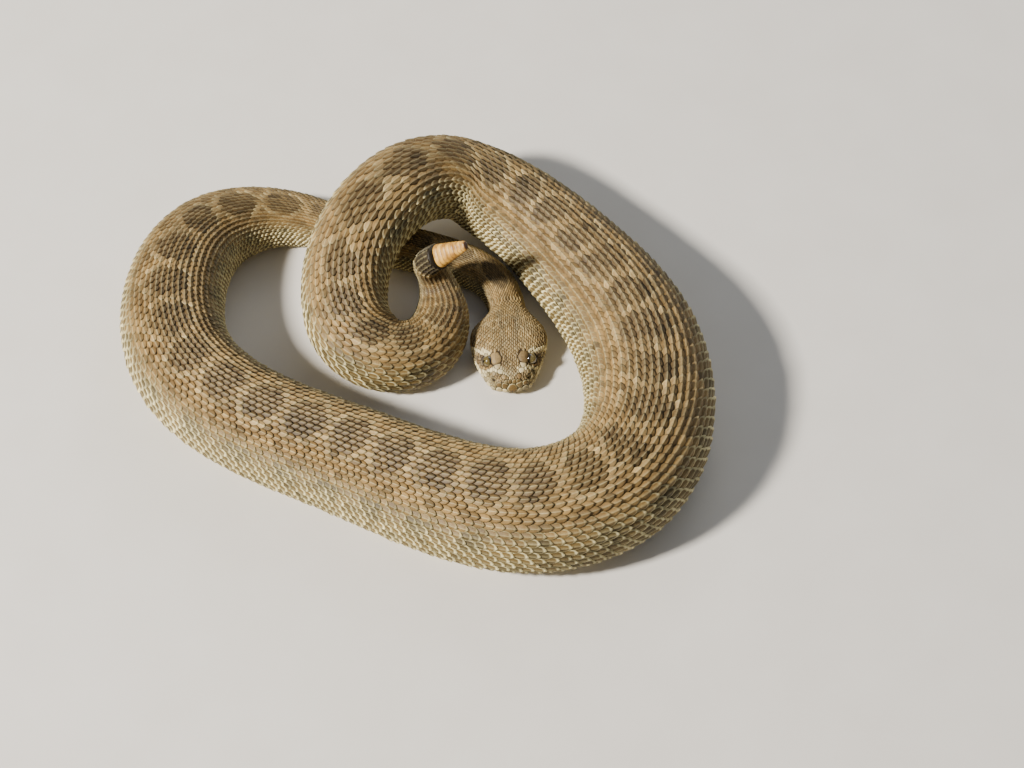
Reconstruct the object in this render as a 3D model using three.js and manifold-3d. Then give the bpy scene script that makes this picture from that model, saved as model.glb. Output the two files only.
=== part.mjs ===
// A rattlesnake at rest, life size, coiled with its head drawn in and its rattle raised.
// Millimetres, +Z up. The belly lies on the plane z = 0.

import * as THREE from 'three';
import { LoftGeometry } from 'three/addons/geometries/LoftGeometry.js';
import { mergeVertices } from 'three/addons/utils/BufferGeometryUtils.js';
import Module from 'manifold-3d';

// Line of the belly, from snout to tail end: across, away, height of the belly, body width.
const BELLY_LINE = [
  [0.2, 6.2, 0, 18],
  [-1.6, 30, 0, 18],
  [-2.2, 52, 0, 18.6],
  [-8, 70.5, 0, 20],
  [-32, 86.5, 0, 22.5],
  [-75, 100, 0, 23.5],
  [-118, 112, 0, 30],
  [-153, 99, 0, 42],
  [-170, 58, 0, 50.5],
  [-161, 12, 0, 52.5],
  [-127, -20, 0, 52.8],
  [-80, -43, 0, 54],
  [-32, -65, 0, 57],
  [15, -73, 0, 59.5],
  [53, -54, 0, 61.5],
  [67, -10, 0, 63.5],
  [57, 36, 0, 61.5],
  [33, 76, 0.5, 55],
  [2, 110, 5, 48.5],
  [-34, 121, 16, 45.5],
  [-66, 96, 28, 44],
  [-83, 60, 15.5, 43.5],
  [-76, 29, 5.5, 41],
  [-59, 21.5, 2.5, 37],
  [-42, 29, 1.2, 33],
  [-35.5, 46, 4.5, 29],
  [-37, 64, 14.5, 21],
  [-41.5, 70, 28, 16.2],
  [-44, 67, 43, 14.8],
  [-38, 63, 53.5, 14.2],
];
const SETTLE = 2;

// Cross-section of the body, as shares of its width or height.
const BODY_HEIGHT = 0.8;
const BODY_WIDEST = 0.42;
const BELLY_DROP = 1.12;
const TAIL_HEIGHT = 0.95;
const TAIL_WIDEST = 0.5;

// Head stations: distance from the snout, half width, top, height of the widest line, squareness.
const HEAD_STATIONS = [
  [0, 5.0, 9.4, 5.6, 0.85],
  [0.9, 7.9, 11.2, 5.6, 0.8],
  [2.6, 9.9, 12.4, 5.5, 0.84],
  [5, 11.6, 13.2, 5.5, 0.9],
  [8, 13.2, 14.0, 5.5, 0.98],
  [11, 14.7, 14.8, 5.6, 1.05],
  [14.5, 16.1, 15.6, 5.8, 1.08],
  [18, 17.3, 16.2, 6.2, 1.05],
  [22, 18.4, 16.8, 6.9, 0.98],
  [26, 19.0, 17.2, 7.5, 0.93],
  [30, 19.1, 17.4, 7.8, 0.9],
  [34, 18.3, 17.2, 7.8, 0.9],
  [37, 16.9, 16.8, 7.6, 0.9],
  [40, 14.7, 16.3, 7.2, 0.9],
  [43, 12.3, 15.8, 6.8, 0.9],
  [46, 10.6, 15.3, 6.5, 0.9],
  [50, 9.6, 14.9, 6.3, 0.9],
];
const HEAD_LENGTH = 54;
const CHIN_RISE = 4.6;
const CHIN_REACH = 9;

// Line of the mouth: distance from the snout and height, from the lip to the angle of the jaw.
const MOUTH_LINE = [
  [-2, 3.7],
  [3, 3.5],
  [12, 4.0],
  [22, 4.8],
  [31, 6.2],
  [36, 7.6],
];
const JAW_END = 40;
const LOWER_LIP_INSET = 0.94;
const UPPER_LIP = { bulge: 0.45, height: 1.3, spread: 1.1 };

const EYE = { distance: 14.3, across: 10.5, height: 11.6, radius: 2.9 };
const BROW = { distance: 13.8, across: 7.3, height: 14.1, length: 5, width: 3.3, thickness: 1.2, tilt: 0.3 };
const NOSTRIL = { distance: 3.1, across: 9.0, height: 9.7, radius: 0.95 };
const HEAT_PIT = { distance: 8.4, across: 11.5, height: 8.9, radius: 1.35 };

// Where the body is parted, as distances from the snout along the belly line.
const HEAD_END = 50;
const BODY_CUTS = [100, 200, 245, 315, 400, 490, 545, 590, 680, 755, 790, 830, 870, 905, 928, 950];
const TAIL_START = 972;
const GAP = 0.3;
const RING_STEP = 10;
const RING_POINTS = 24;
const HEAD_POINTS = 52;

// Rattle: a stack of loose horny segments that narrows to its tip.
const RATTLE = {
  segments: 8,
  baseWidth: 12,
  tipWidth: 5.4,
  basePitch: 3.2,
  tipPitch: 2.5,
  flatness: 0.72,
  groove: 0.8,
};

const UP = new THREE.Vector3(0, 0, 1);
const wasm = await Module();
wasm.setup();

const skin = (name, color) =>
  new THREE.MeshStandardMaterial({ name, color, roughness: 0.62, metalness: 0 });
const MATERIALS = {
  back: skin('scaled_back', 0x8a7350),
  head: skin('scaled_head', 0x8f7a52),
  jaw: skin('pale_jaw', 0xc9b98a),
  tail: skin('scaled_tail', 0x75664c),
  eye: new THREE.MeshStandardMaterial({ name: 'eye', color: 0x2a2a1c, roughness: 0.12, metalness: 0 }),
  rattle: new THREE.MeshStandardMaterial({ name: 'horn', color: 0xc98c42, roughness: 0.45, metalness: 0 }),
};

/** Natural cubic spline through rows of numbers, spaced by the distance between the rows. */
class RowSpline {
  constructor(rows, spatial = 3) {
    this.rows = rows;
    this.knots = [0];
    for (let i = 1; i < rows.length; i++) {
      const apart = Math.hypot(...rows[i].slice(0, spatial).map((value, k) => value - rows[i - 1][k]));
      this.knots.push(this.knots[i - 1] + apart);
    }
    this.bends = rows[0].map((_, column) => this.solveBends(column));
  }

  // Second derivatives at the knots, zero at both ends.
  solveBends(column) {
    const { rows, knots } = this;
    const last = rows.length - 1;
    const upper = [0];
    const right = [0];
    for (let i = 1; i < last; i++) {
      const before = knots[i] - knots[i - 1];
      const after = knots[i + 1] - knots[i];
      const slopeAfter = (rows[i + 1][column] - rows[i][column]) / after;
      const slopeBefore = (rows[i][column] - rows[i - 1][column]) / before;
      const pivot = 2 * (before + after) - before * upper[i - 1];
      upper.push(after / pivot);
      right.push((6 * (slopeAfter - slopeBefore) - before * right[i - 1]) / pivot);
    }
    const bends = new Array(rows.length).fill(0);
    for (let i = last - 1; i > 0; i--) {
      bends[i] = right[i] - upper[i] * bends[i + 1];
    }
    return bends;
  }

  at(position) {
    const { rows, knots } = this;
    let i = 0;
    while (i < rows.length - 2 && position > knots[i + 1]) {
      i++;
    }
    const span = knots[i + 1] - knots[i];
    const toNext = (knots[i + 1] - position) / span;
    const fromLast = (position - knots[i]) / span;
    const sag = (part) => ((part ** 3 - part) * span ** 2) / 6;
    return rows[i].map((value, column) => {
      const bends = this.bends[column];
      const straight = value * toNext + rows[i + 1][column] * fromLast;
      return straight + bends[i] * sag(toNext) + bends[i + 1] * sag(fromLast);
    });
  }
}

/** Height of the belly above the floor, eased so that it leaves the floor without a kink. */
function settle(lift) {
  const rising = THREE.MathUtils.clamp(lift, 0, 2 * SETTLE);
  return rising ** 2 / (4 * SETTLE) + Math.max(0, lift - 2 * SETTLE);
}

/** The belly line as a curve that knows the body width and the frame at any distance. */
class BellyLine extends THREE.Curve {
  constructor(rows) {
    super();
    this.arcLengthDivisions = 3000;
    this.spline = new RowSpline(rows);
    this.span = this.spline.knots.at(-1);
  }

  getPoint(t, target = new THREE.Vector3()) {
    const [x, y, lift] = this.spline.at(t * this.span);
    return target.set(x, y, settle(lift));
  }

  parameter(distance) {
    return this.getUtoTmapping(0, distance);
  }

  width(distance) {
    return this.spline.at(this.parameter(distance) * this.span)[3];
  }

  along(distance) {
    return this.getTangent(this.parameter(distance));
  }

  // The sideways direction is level along the body and carried without twist up the tail.
  frame(distance) {
    const start = Math.min(distance, TAIL_START);
    const across = new THREE.Vector3().crossVectors(UP, this.along(start)).normalize();
    for (let step = start; step < distance; step++) {
      const along = this.along(Math.min(step + 1, distance));
      across.addScaledVector(along, -across.dot(along)).normalize();
    }
    const along = this.along(distance);
    const up = new THREE.Vector3().crossVectors(along, across);
    return { origin: this.getPoint(this.parameter(distance)), along, across, up };
  }
}

const line = new BellyLine(BELLY_LINE);
const LENGTH = line.getLength();
const headShape = new RowSpline(HEAD_STATIONS, 1);
const mouthShape = new RowSpline(MOUTH_LINE, 1);
const mix = (a, b, share) => a + (b - a) * share;
const ease = (value, from, to) => THREE.MathUtils.smoothstep(value, from, to);

/** Sizes of the cross-section at a distance from the snout. */
function shapeAt(distance) {
  const width = line.width(distance);
  const tail = ease(distance, TAIL_START - 45, TAIL_START + 25);
  const top = width * mix(BODY_HEIGHT, TAIL_HEIGHT, tail);
  const body = {
    half: width / 2,
    top,
    widest: top * mix(BODY_WIDEST, TAIL_WIDEST, tail),
    square: mix(0.9, 1, tail),
    drop: mix(BELLY_DROP, 1, tail),
    floor: 0,
  };
  if (distance >= HEAD_LENGTH) {
    return body;
  }
  const neck = ease(distance, HEAD_END - 6, HEAD_LENGTH);
  const [, half, crown, widest, square] = headShape.at(Math.min(distance, HEAD_END));
  return {
    half: mix(half, body.half, neck),
    top: mix(crown, body.top, neck),
    widest: mix(widest, body.widest, neck),
    square: mix(square, body.square, neck),
    drop: BELLY_DROP,
    floor: CHIN_RISE * (1 - Math.min(distance / CHIN_REACH, 1)) ** 2,
  };
}

/** Closed ring of a cross-section in its own plane, counterclockwise from the left side. */
function ring(distance, points) {
  const shape = shapeAt(distance);
  const mouth = mouthShape.at(distance)[1];
  const inHead = distance < JAW_END;
  return Array.from({ length: points }, (_, k) => {
    const angle = (2 * Math.PI * (k + 0.5)) / points;
    const side = Math.cos(angle);
    const rise = Math.sin(angle);
    let x = shape.half * Math.sign(side) * Math.abs(side) ** shape.square;
    let z = shape.widest;
    if (rise > 0) {
      z += (shape.top - shape.widest) * rise ** shape.square;
    } else {
      const depth = shape.widest - shape.floor;
      z = Math.max(shape.floor, z - depth * shape.drop * (-rise) ** (shape.square * 0.88));
    }
    if (inHead && z < mouth) {
      x *= LOWER_LIP_INSET;
    } else if (inHead) {
      const aboveLip = (z - mouth - UPPER_LIP.height) / UPPER_LIP.spread;
      x += Math.sign(side) * UPPER_LIP.bulge * Math.exp(-(aboveLip ** 2));
    }
    return new THREE.Vector2(x, z);
  });
}

/** Rings placed on the belly line, with parallel end faces half a gap inside each cut. */
function placeRing(distance, shift, points) {
  const { origin, along, across, up } = line.frame(distance);
  return ring(distance, points).map((point) =>
    origin.clone()
      .addScaledVector(along, shift)
      .addScaledVector(across, point.x)
      .addScaledVector(up, point.y));
}

/** The middle of a ring, repeated, so that a loft ends in a fan of triangles. */
function closingRing(points) {
  const middle = new THREE.Vector3();
  points.forEach((point) => middle.addScaledVector(point, 1 / points.length));
  return points.map(() => middle.clone());
}

function loftRings(rings) {
  const loft = new LoftGeometry([closingRing(rings[0]), ...rings, closingRing(rings.at(-1))]);
  const geometry = new THREE.BufferGeometry().copy(loft);
  geometry.deleteAttribute('normal');
  geometry.deleteAttribute('uv');
  const merged = mergeVertices(geometry, 1e-4);
  const corners = merged.index.array;
  const kept = [];
  for (let i = 0; i < corners.length; i += 3) {
    const [a, b, c] = corners.slice(i, i + 3);
    if (a !== b && b !== c && c !== a) {
      kept.push(a, b, c);
    }
  }
  merged.setIndex(kept);
  return merged;
}

function bodyLength(start, end, step = RING_STEP, points = RING_POINTS) {
  const inner = Math.max(1, Math.round((end - start) / step) - 1);
  const rings = [placeRing(start, GAP / 2, points)];
  for (let k = 1; k <= inner; k++) {
    rings.push(placeRing(start + ((end - start) * k) / (inner + 1), 0, points));
  }
  rings.push(placeRing(end, -GAP / 2, points));
  return loftRings(rings);
}

function toSolid(geometry) {
  const plain = mergeVertices(geometry, 1e-4);
  return new wasm.Manifold(new wasm.Mesh({
    numProp: 3,
    vertProperties: Float32Array.from(plain.attributes.position.array),
    triVerts: Uint32Array.from(plain.index.array),
  }));
}

function toGeometry(solid) {
  const { vertProperties, triVerts } = solid.getMesh();
  const geometry = new THREE.BufferGeometry();
  geometry.setAttribute('position', new THREE.BufferAttribute(vertProperties, 3));
  geometry.setIndex(new THREE.BufferAttribute(triVerts, 1));
  return geometry;
}

const bySize = (solids) => solids.sort((a, b) => b.volume() - a.volume());

/** A point of the head from its distance behind the snout, across and height. */
function headPoint(distance, across, height) {
  const frame = line.frame(distance);
  return frame.origin
    .addScaledVector(frame.across, across)
    .addScaledVector(frame.up, height);
}

/** Ball or shield on the head, turned with it, its outer edge tilted down. Positive side is the left. */
function headBall(spec, side, radii, segments = 16) {
  const geometry = new THREE.SphereGeometry(1, segments, segments / 2);
  geometry.deleteAttribute('normal');
  geometry.deleteAttribute('uv');
  const { along, across, up } = line.frame(spec.distance);
  const turn = new THREE.Matrix4().makeBasis(along, across, up);
  geometry.scale(...radii);
  geometry.rotateX(side * (spec.tilt ?? 0));
  geometry.applyMatrix4(turn);
  const centre = headPoint(spec.distance, -side * spec.across, spec.height);
  geometry.translate(...centre);
  return mergeVertices(geometry, 1e-4);
}

/** Thin sheet along the mouth line and down behind the jaw, wider than the head. */
function mouthCut() {
  const stations = Array.from({ length: 12 }, (_, k) => mix(-2, 36, k / 11));
  const lineAbove = stations.map((d) => new THREE.Vector2(d, mouthShape.at(d)[1]));
  const outline = new THREE.Shape([
    ...lineAbove,
    new THREE.Vector2(38.6, 6.6),
    new THREE.Vector2(JAW_END, 4),
    new THREE.Vector2(JAW_END, -2),
    new THREE.Vector2(JAW_END - GAP, -2),
    new THREE.Vector2(JAW_END - GAP, 3.9),
    new THREE.Vector2(38.4, 6.3),
    ...lineAbove.reverse().map(({ x, y }) => new THREE.Vector2(x, y - GAP)),
  ]);
  const sheet = new THREE.ExtrudeGeometry(outline, { depth: 60, bevelEnabled: false });
  sheet.translate(0, 0, -30);
  sheet.deleteAttribute('normal');
  sheet.deleteAttribute('uv');
  const { along, across, up } = line.frame(HEAD_END / 2);
  const snout = headPoint(HEAD_END / 2, 0, 0).addScaledVector(along, -HEAD_END / 2);
  const turn = new THREE.Matrix4().makeBasis(along, up, across.clone().negate());
  sheet.applyMatrix4(turn);
  sheet.translate(...snout);
  return toSolid(mergeVertices(sheet, 1e-4));
}

function makeHead() {
  const distances = [0, 0.4, 0.9, 1.6, 2.6, 3.8, 5, 6.5, 8, 9.5, 11, 12.7, 14.5, 16.2, 18, 20, 22,
    24, 26, 28, 30, 32, 34, 36, 38, 40, 42, 44, 46, 48];
  const rings = distances.map((distance) => placeRing(distance, 0, HEAD_POINTS));
  rings.push(placeRing(HEAD_END, -GAP / 2, HEAD_POINTS));
  let head = toSolid(loftRings(rings));
  for (const side of [-1, 1]) {
    head = head.add(toSolid(headBall(BROW, side, [BROW.length, BROW.width, BROW.thickness])));
    head = head.subtract(toSolid(headBall(EYE, side, Array(3).fill(EYE.radius + GAP))));
    head = head.subtract(toSolid(headBall(NOSTRIL, side, Array(3).fill(NOSTRIL.radius), 10)));
    head = head.subtract(toSolid(headBall(HEAT_PIT, side, Array(3).fill(HEAT_PIT.radius), 12)));
  }
  const [upper, jaw] = bySize(head.subtract(mouthCut()).decompose());
  return { upper: toGeometry(upper), jaw: toGeometry(jaw) };
}

/** Flattened ring of a rattle segment, pinched a little along each flat side. */
function rattleRing(base, frame, advance, width, points = 20) {
  return Array.from({ length: points }, (_, k) => {
    const angle = (2 * Math.PI * k) / points;
    const pinch = 1 - 0.1 * Math.abs(Math.sin(angle)) ** 6;
    return base.clone()
      .addScaledVector(frame.along, advance)
      .addScaledVector(frame.up, (Math.cos(angle) * width) / 2)
      .addScaledVector(frame.across, (-Math.sin(angle) * pinch * width * RATTLE.flatness) / 2);
  });
}

function makeRattle() {
  const frame = line.frame(LENGTH);
  const base = frame.origin.clone().addScaledVector(frame.up, shapeAt(LENGTH).widest);
  const rings = [];
  let advance = GAP;
  for (let k = 0; k < RATTLE.segments; k++) {
    const share = k / (RATTLE.segments - 1);
    const width = mix(RATTLE.baseWidth, RATTLE.tipWidth, share);
    const pitch = mix(RATTLE.basePitch, RATTLE.tipPitch, share);
    for (const [part, size] of [[0, RATTLE.groove], [0.18, 0.97], [0.5, 1], [0.85, 0.92]]) {
      rings.push(rattleRing(base, frame, advance + pitch * part, width * size));
    }
    advance += pitch;
  }
  rings.push(rattleRing(base, frame, advance, RATTLE.tipWidth * 0.5));
  return loftRings(rings);
}

const snake = new THREE.Group();
snake.name = 'rattlesnake';
const addPart = (name, geometry, material) => {
  const mesh = new THREE.Mesh(geometry, material);
  mesh.name = name;
  snake.add(mesh);
};

const { upper, jaw } = makeHead();
addPart('head', upper, MATERIALS.head);
addPart('lower_jaw', jaw, MATERIALS.jaw);
addPart('eye_left', headBall(EYE, 1, Array(3).fill(EYE.radius), 20), MATERIALS.eye);
addPart('eye_right', headBall(EYE, -1, Array(3).fill(EYE.radius), 20), MATERIALS.eye);
addPart('neck', bodyLength(HEAD_END, BODY_CUTS[0], 6), MATERIALS.back);
BODY_CUTS.forEach((start, index) => {
  const end = BODY_CUTS[index + 1] ?? TAIL_START;
  const name = `body_${String(index + 1).padStart(2, '0')}`;
  addPart(name, bodyLength(start, end), MATERIALS.back);
});
addPart('tail', bodyLength(TAIL_START, LENGTH, 4), MATERIALS.tail);
addPart('rattle', makeRattle(), MATERIALS.rattle);

// The origin is the middle of the footprint, on the resting plane.
const box = new THREE.Box3().setFromObject(snake);
const centre = box.getCenter(new THREE.Vector3());
snake.position.set(-centre.x, -centre.y, -box.min.z);

export default snake;
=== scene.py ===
"""Dresses the coiled rattlesnake: hide, scales, belly plates, head shields, eyes and rattle.

Sizes are in millimetres up to BodySurface.place, which gives metres. A place on the animal is
a distance from the snout along the belly and a turn round the body, or, on the head, a
distance, a side and a height.
"""

import logging
import math
from dataclasses import dataclass, field
from enum import Enum
from typing import Any, Iterable

import bpy
import numpy as np
from mathutils import Matrix, Vector
from mathutils.bvhtree import BVHTree


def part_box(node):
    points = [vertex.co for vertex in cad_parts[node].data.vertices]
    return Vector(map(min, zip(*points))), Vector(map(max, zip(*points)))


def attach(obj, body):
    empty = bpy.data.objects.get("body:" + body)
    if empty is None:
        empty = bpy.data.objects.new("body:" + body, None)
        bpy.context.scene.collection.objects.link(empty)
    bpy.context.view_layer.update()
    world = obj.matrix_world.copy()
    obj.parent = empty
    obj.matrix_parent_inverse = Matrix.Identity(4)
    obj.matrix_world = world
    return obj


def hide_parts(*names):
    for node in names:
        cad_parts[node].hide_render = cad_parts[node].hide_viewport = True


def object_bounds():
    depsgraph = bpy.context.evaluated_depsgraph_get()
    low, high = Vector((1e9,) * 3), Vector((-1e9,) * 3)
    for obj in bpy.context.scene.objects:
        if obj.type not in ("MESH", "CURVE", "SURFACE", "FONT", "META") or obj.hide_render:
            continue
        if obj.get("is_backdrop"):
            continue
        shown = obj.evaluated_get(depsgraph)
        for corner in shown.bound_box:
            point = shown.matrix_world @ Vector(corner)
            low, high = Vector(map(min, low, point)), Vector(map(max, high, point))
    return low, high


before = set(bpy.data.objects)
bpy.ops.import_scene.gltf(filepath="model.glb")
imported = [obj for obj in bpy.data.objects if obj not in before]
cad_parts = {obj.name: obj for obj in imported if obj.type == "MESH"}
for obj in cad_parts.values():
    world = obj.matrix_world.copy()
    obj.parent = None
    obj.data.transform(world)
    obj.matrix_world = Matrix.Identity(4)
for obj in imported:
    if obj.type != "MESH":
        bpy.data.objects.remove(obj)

log = logging.getLogger("rattlesnake")
Array = np.ndarray
Corner = tuple[float, float, float]
Table = tuple[tuple[float, float], ...]
Colour = tuple[float, float, float, float]
MM = 0.001
SEED = 20

# Line of the belly, from snout to tail end, in millimetres: across, away, lift, body width.
BELLY_LINE: list[tuple[float, float, float, float]] = [
    (0.2, 6.2, 0, 18),
    (-1.6, 30, 0, 18),
    (-2.2, 52, 0, 18.6),
    (-8, 70.5, 0, 20),
    (-32, 86.5, 0, 22.5),
    (-75, 100, 0, 23.5),
    (-118, 112, 0, 30),
    (-153, 99, 0, 42),
    (-170, 58, 0, 50.5),
    (-161, 12, 0, 52.5),
    (-127, -20, 0, 52.8),
    (-80, -43, 0, 54),
    (-32, -65, 0, 57),
    (15, -73, 0, 59.5),
    (53, -54, 0, 61.5),
    (67, -10, 0, 63.5),
    (57, 36, 0, 61.5),
    (33, 76, 0.5, 55),
    (2, 110, 5, 48.5),
    (-34, 121, 16, 45.5),
    (-66, 96, 28, 44),
    (-83, 60, 15.5, 43.5),
    (-76, 29, 5.5, 41),
    (-59, 21.5, 2.5, 37),
    (-42, 29, 1.2, 33),
    (-35.5, 46, 4.5, 29),
    (-37, 64, 14.5, 21),
    (-41.5, 70, 28, 16.2),
    (-44, 67, 43, 14.8),
    (-38, 63, 53.5, 14.2),
]
SETTLE = 2.0  # lift over which the belly eases off the floor

# Cross-section of the body and of the tail: height and widest line as shares, and squareness.
BODY_HEIGHT, TAIL_HEIGHT = 0.8, 0.95
BODY_WIDEST, TAIL_WIDEST = 0.42, 0.5
BODY_SQUARE, TAIL_SQUARE = 0.9, 1.0
BELLY_DROP = 1.12  # above 1 the belly is flat
BELLY_SQUARE = 0.88
TAIL_START = 972.0
TAIL_EASE = (-45.0, 25.0)

# Ends of the head's parts, as distances from the snout.
HEAD_END = 50.0
HEAD_LENGTH = 54.0
NECK_EASE = 6.0
JAW_END = 40.0

# Head stations: distance from the snout, half width, top, height of the widest line, squareness.
HEAD_STATIONS: list[tuple[float, float, float, float, float]] = [
    (0, 5.0, 9.4, 5.6, 0.85),
    (0.9, 7.9, 11.2, 5.6, 0.8),
    (2.6, 9.9, 12.4, 5.5, 0.84),
    (5, 11.6, 13.2, 5.5, 0.9),
    (8, 13.2, 14.0, 5.5, 0.98),
    (11, 14.7, 14.8, 5.6, 1.05),
    (14.5, 16.1, 15.6, 5.8, 1.08),
    (18, 17.3, 16.2, 6.2, 1.05),
    (22, 18.4, 16.8, 6.9, 0.98),
    (26, 19.0, 17.2, 7.5, 0.93),
    (30, 19.1, 17.4, 7.8, 0.9),
    (34, 18.3, 17.2, 7.8, 0.9),
    (37, 16.9, 16.8, 7.6, 0.9),
    (40, 14.7, 16.3, 7.2, 0.9),
    (43, 12.3, 15.8, 6.8, 0.9),
    (46, 10.6, 15.3, 6.5, 0.9),
    (50, 9.6, 14.9, 6.3, 0.9),
]
CHIN_RISE = 4.6
CHIN_REACH = 9.0
LOWER_LIP_INSET = 0.05

# Rows of the skin: the snout's flat face has distances below 0, and rows are close up to FINE_END.
SNOUT_FACE = 5.0
SNOUT_ROWS = 8
FINE_END = 56.0

FLOOR_GAP = 0.03  # least height of any scale over the floor
MAP_MARGIN = 8.0  # room before and after a piece on its bake map

# Line of the mouth: distance from the snout and height.
MOUTH_LINE: list[tuple[float, float]] = [
    (-2, 3.7),
    (3, 3.5),
    (12, 4.0),
    (22, 4.8),
    (31, 6.2),
    (36, 7.6),
]

# Depth of the scales above the skin, by distance.
COAT_DEPTHS: Table = (
    (0, 0.4), (30, 0.48), (60, 0.55), (200, 1.0), (400, 1.4), (700, 1.3), (960, 0.7), (1036, 0.5))

# Depth of the head's own scales, by distance.
HEAD_DEPTHS: Table = ((0, 0.4), (20, 0.46), (50, 0.55))

# Rows of scales round the back, turn at which they meet the belly plates, and pitch, by distance.
ROW_COUNTS: Table = (
    (2, 43), (10, 47), (20, 55), (35, 55), (50, 41), (80, 35), (150, 33), (500, 33),
    (640, 31), (720, 29), (800, 27), (900, 24), (960, 19), (990, 16), (1030, 13))
ROW_HALF_TURNS: Table = ((50, 0.372), (80, 0.36), (940, 0.36), (985, 0.39))
ROW_PITCHES: Table = (
    (10, 1.9), (50, 2.2), (100, 2.6), (160, 3.1), (220, 3.5), (300, 3.8), (420, 3.9), (500, 4.1),
    (650, 4.4), (740, 4.6), (800, 4.4), (880, 4.0), (935, 3.5), (985, 3.0), (1030, 2.8))


def ease(value: Array | float, start: float, end: float) -> Array:
    """Smooth step from 0 at start to 1 at end."""
    share = np.clip((np.asarray(value, float) - start) / (end - start), 0.0, 1.0)
    return share * share * (3.0 - 2.0 * share)


def bump(value: Array, middle: float, spread: float) -> Array:
    """Bell curve of height 1 about a middle."""
    return np.exp(-(((np.asarray(value, float) - middle) / spread) ** 2))


def mix(first: Array | float, second: Array | float, share: Array | float) -> Array:
    """First at share 0 and second at share 1."""
    return first * (1 - share) + second * share


def read_table(table: Table, distance: Array | float) -> Array:
    """Values of a table between its distances."""
    return np.interp(distance, *np.transpose(table))


class RowSpline:
    """Natural cubic spline through rows of numbers, spaced by the distance between the rows."""

    def __init__(self, rows: Iterable[tuple[float, ...]], spatial: int = 3) -> None:
        """Solves the bends at the knots.

        Args:
            rows: The rows that the spline passes through.
            spatial: How many leading columns give the spacing.
        """
        self.rows = np.array(list(rows), float)
        steps = np.linalg.norm(np.diff(self.rows[:, :spatial], axis=0), axis=1)
        self.steps = steps
        self.knots = np.concatenate([[0.0], np.cumsum(steps)])
        count = len(self.rows)
        matrix = np.eye(count)
        right = np.zeros_like(self.rows)
        for i in range(1, count - 1):
            before, after = steps[i - 1], steps[i]
            matrix[i, i - 1:i + 2] = before, 2 * (before + after), after
            slope_after = (self.rows[i + 1] - self.rows[i]) / after
            slope_before = (self.rows[i] - self.rows[i - 1]) / before
            right[i] = 6 * (slope_after - slope_before)
        self.bends = np.linalg.solve(matrix, right)

    def at(self, position: Array | float) -> Array:
        """Reads the spline.

        Args:
            position: Positions along the knots.

        Returns:
            One row of numbers for each position.
        """
        where = np.atleast_1d(np.asarray(position, float))
        i = np.clip(np.searchsorted(self.knots, where) - 1, 0, len(self.rows) - 2)
        span = self.steps[i][:, None]
        to_next = (self.knots[i + 1] - where)[:, None] / span
        from_last = 1.0 - to_next
        sag = span ** 2 / 6
        straight = self.rows[i] * to_next + self.rows[i + 1] * from_last
        curved = self.bends[i] * (to_next ** 3 - to_next)
        curved = curved + self.bends[i + 1] * (from_last ** 3 - from_last)
        return straight + curved * sag


@dataclass
class BellyLine:
    """The belly's route with its width and its frame at any distance from the snout."""

    samples: int = 12000
    frames: int = 2200
    chord: float = 0.2
    length: float = field(init=False)

    def __post_init__(self) -> None:
        """Tabulates places, widths and frames along the route."""
        spline = RowSpline(BELLY_LINE)
        rows = spline.at(np.linspace(0.0, spline.knots[-1], self.samples))
        lift = rows[:, 2]
        rising = np.clip(lift, 0.0, 2 * SETTLE)
        settled = rising ** 2 / (4 * SETTLE) + np.maximum(0.0, lift - 2 * SETTLE)
        self.places = np.column_stack([rows[:, :2], settled])
        self.widths = rows[:, 3]
        steps = np.linalg.norm(np.diff(self.places, axis=0), axis=1)
        self.reach = np.concatenate([[0.0], np.cumsum(steps)])
        self.length = float(self.reach[-1])
        self.tabulate_frames()

    def tabulate_frames(self) -> None:
        """Fills the frames, level along the body and carried without twist up the tail."""
        self.marks = np.linspace(0.0, self.length, self.frames)
        ahead = self.place(np.minimum(self.marks + self.chord, self.length))
        behind = self.place(np.maximum(self.marks - self.chord, 0.0))
        along = ahead - behind
        along /= np.linalg.norm(along, axis=1)[:, None]
        across = np.cross([0.0, 0.0, 1.0], along)
        for i in np.flatnonzero(self.marks > TAIL_START):
            across[i] = across[i - 1] - along[i] * np.dot(across[i - 1], along[i])
            across[i] /= np.linalg.norm(across[i])
        across /= np.linalg.norm(across, axis=1)[:, None]
        self.along, self.across = along, across
        self.up = np.cross(along, across)

    def place(self, distance: Array | float) -> Array:
        """Points of the belly line."""
        return np.stack([np.interp(distance, self.reach, self.places[:, k]) for k in range(3)], -1)

    def width(self, distance: Array | float) -> Array:
        """Body widths."""
        return np.interp(distance, self.reach, self.widths)

    def direction(self, table: Array, distance: Array | float) -> Array:
        """Unit directions read from a table of them."""
        value = np.stack([np.interp(distance, self.marks, table[:, k]) for k in range(3)], -1)
        return value / np.linalg.norm(value, axis=-1, keepdims=True)

    def frame(self, distance: Array | float) -> tuple[Array, Array, Array, Array]:
        """Places and directions on the belly line.

        Args:
            distance: Distances from the snout.

        Returns:
            The places and the directions along, across and up.
        """
        along, across, up = (self.direction(table, distance)
                             for table in (self.along, self.across, self.up))
        return self.place(distance), along, across, up


LINE = BellyLine()
HEAD = RowSpline(HEAD_STATIONS, 1)
MOUTH = RowSpline(MOUTH_LINE, 1)


def mouth_height(distance: Array | float) -> Array:
    """Height of the mouth line at distances from the snout."""
    start, end = MOUTH_LINE[0][0], MOUTH_LINE[-1][0]
    return MOUTH.at(np.clip(distance, 0.0, end) - start)[:, 1]


@dataclass(frozen=True)
class EyePlace:
    """Place and size of an eye, from the head's own frame, in millimetres."""

    distance: float = 14.3
    across: float = 10.5
    height: float = 11.6
    radius: float = 2.9


EYE = EyePlace()


def head_point(distance: float, across: float, height: float) -> Array:
    """A point in the head's frame, in the belly line's millimetres."""
    place, _, side, up = LINE.frame(distance)
    return place + side * across + up * height


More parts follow.
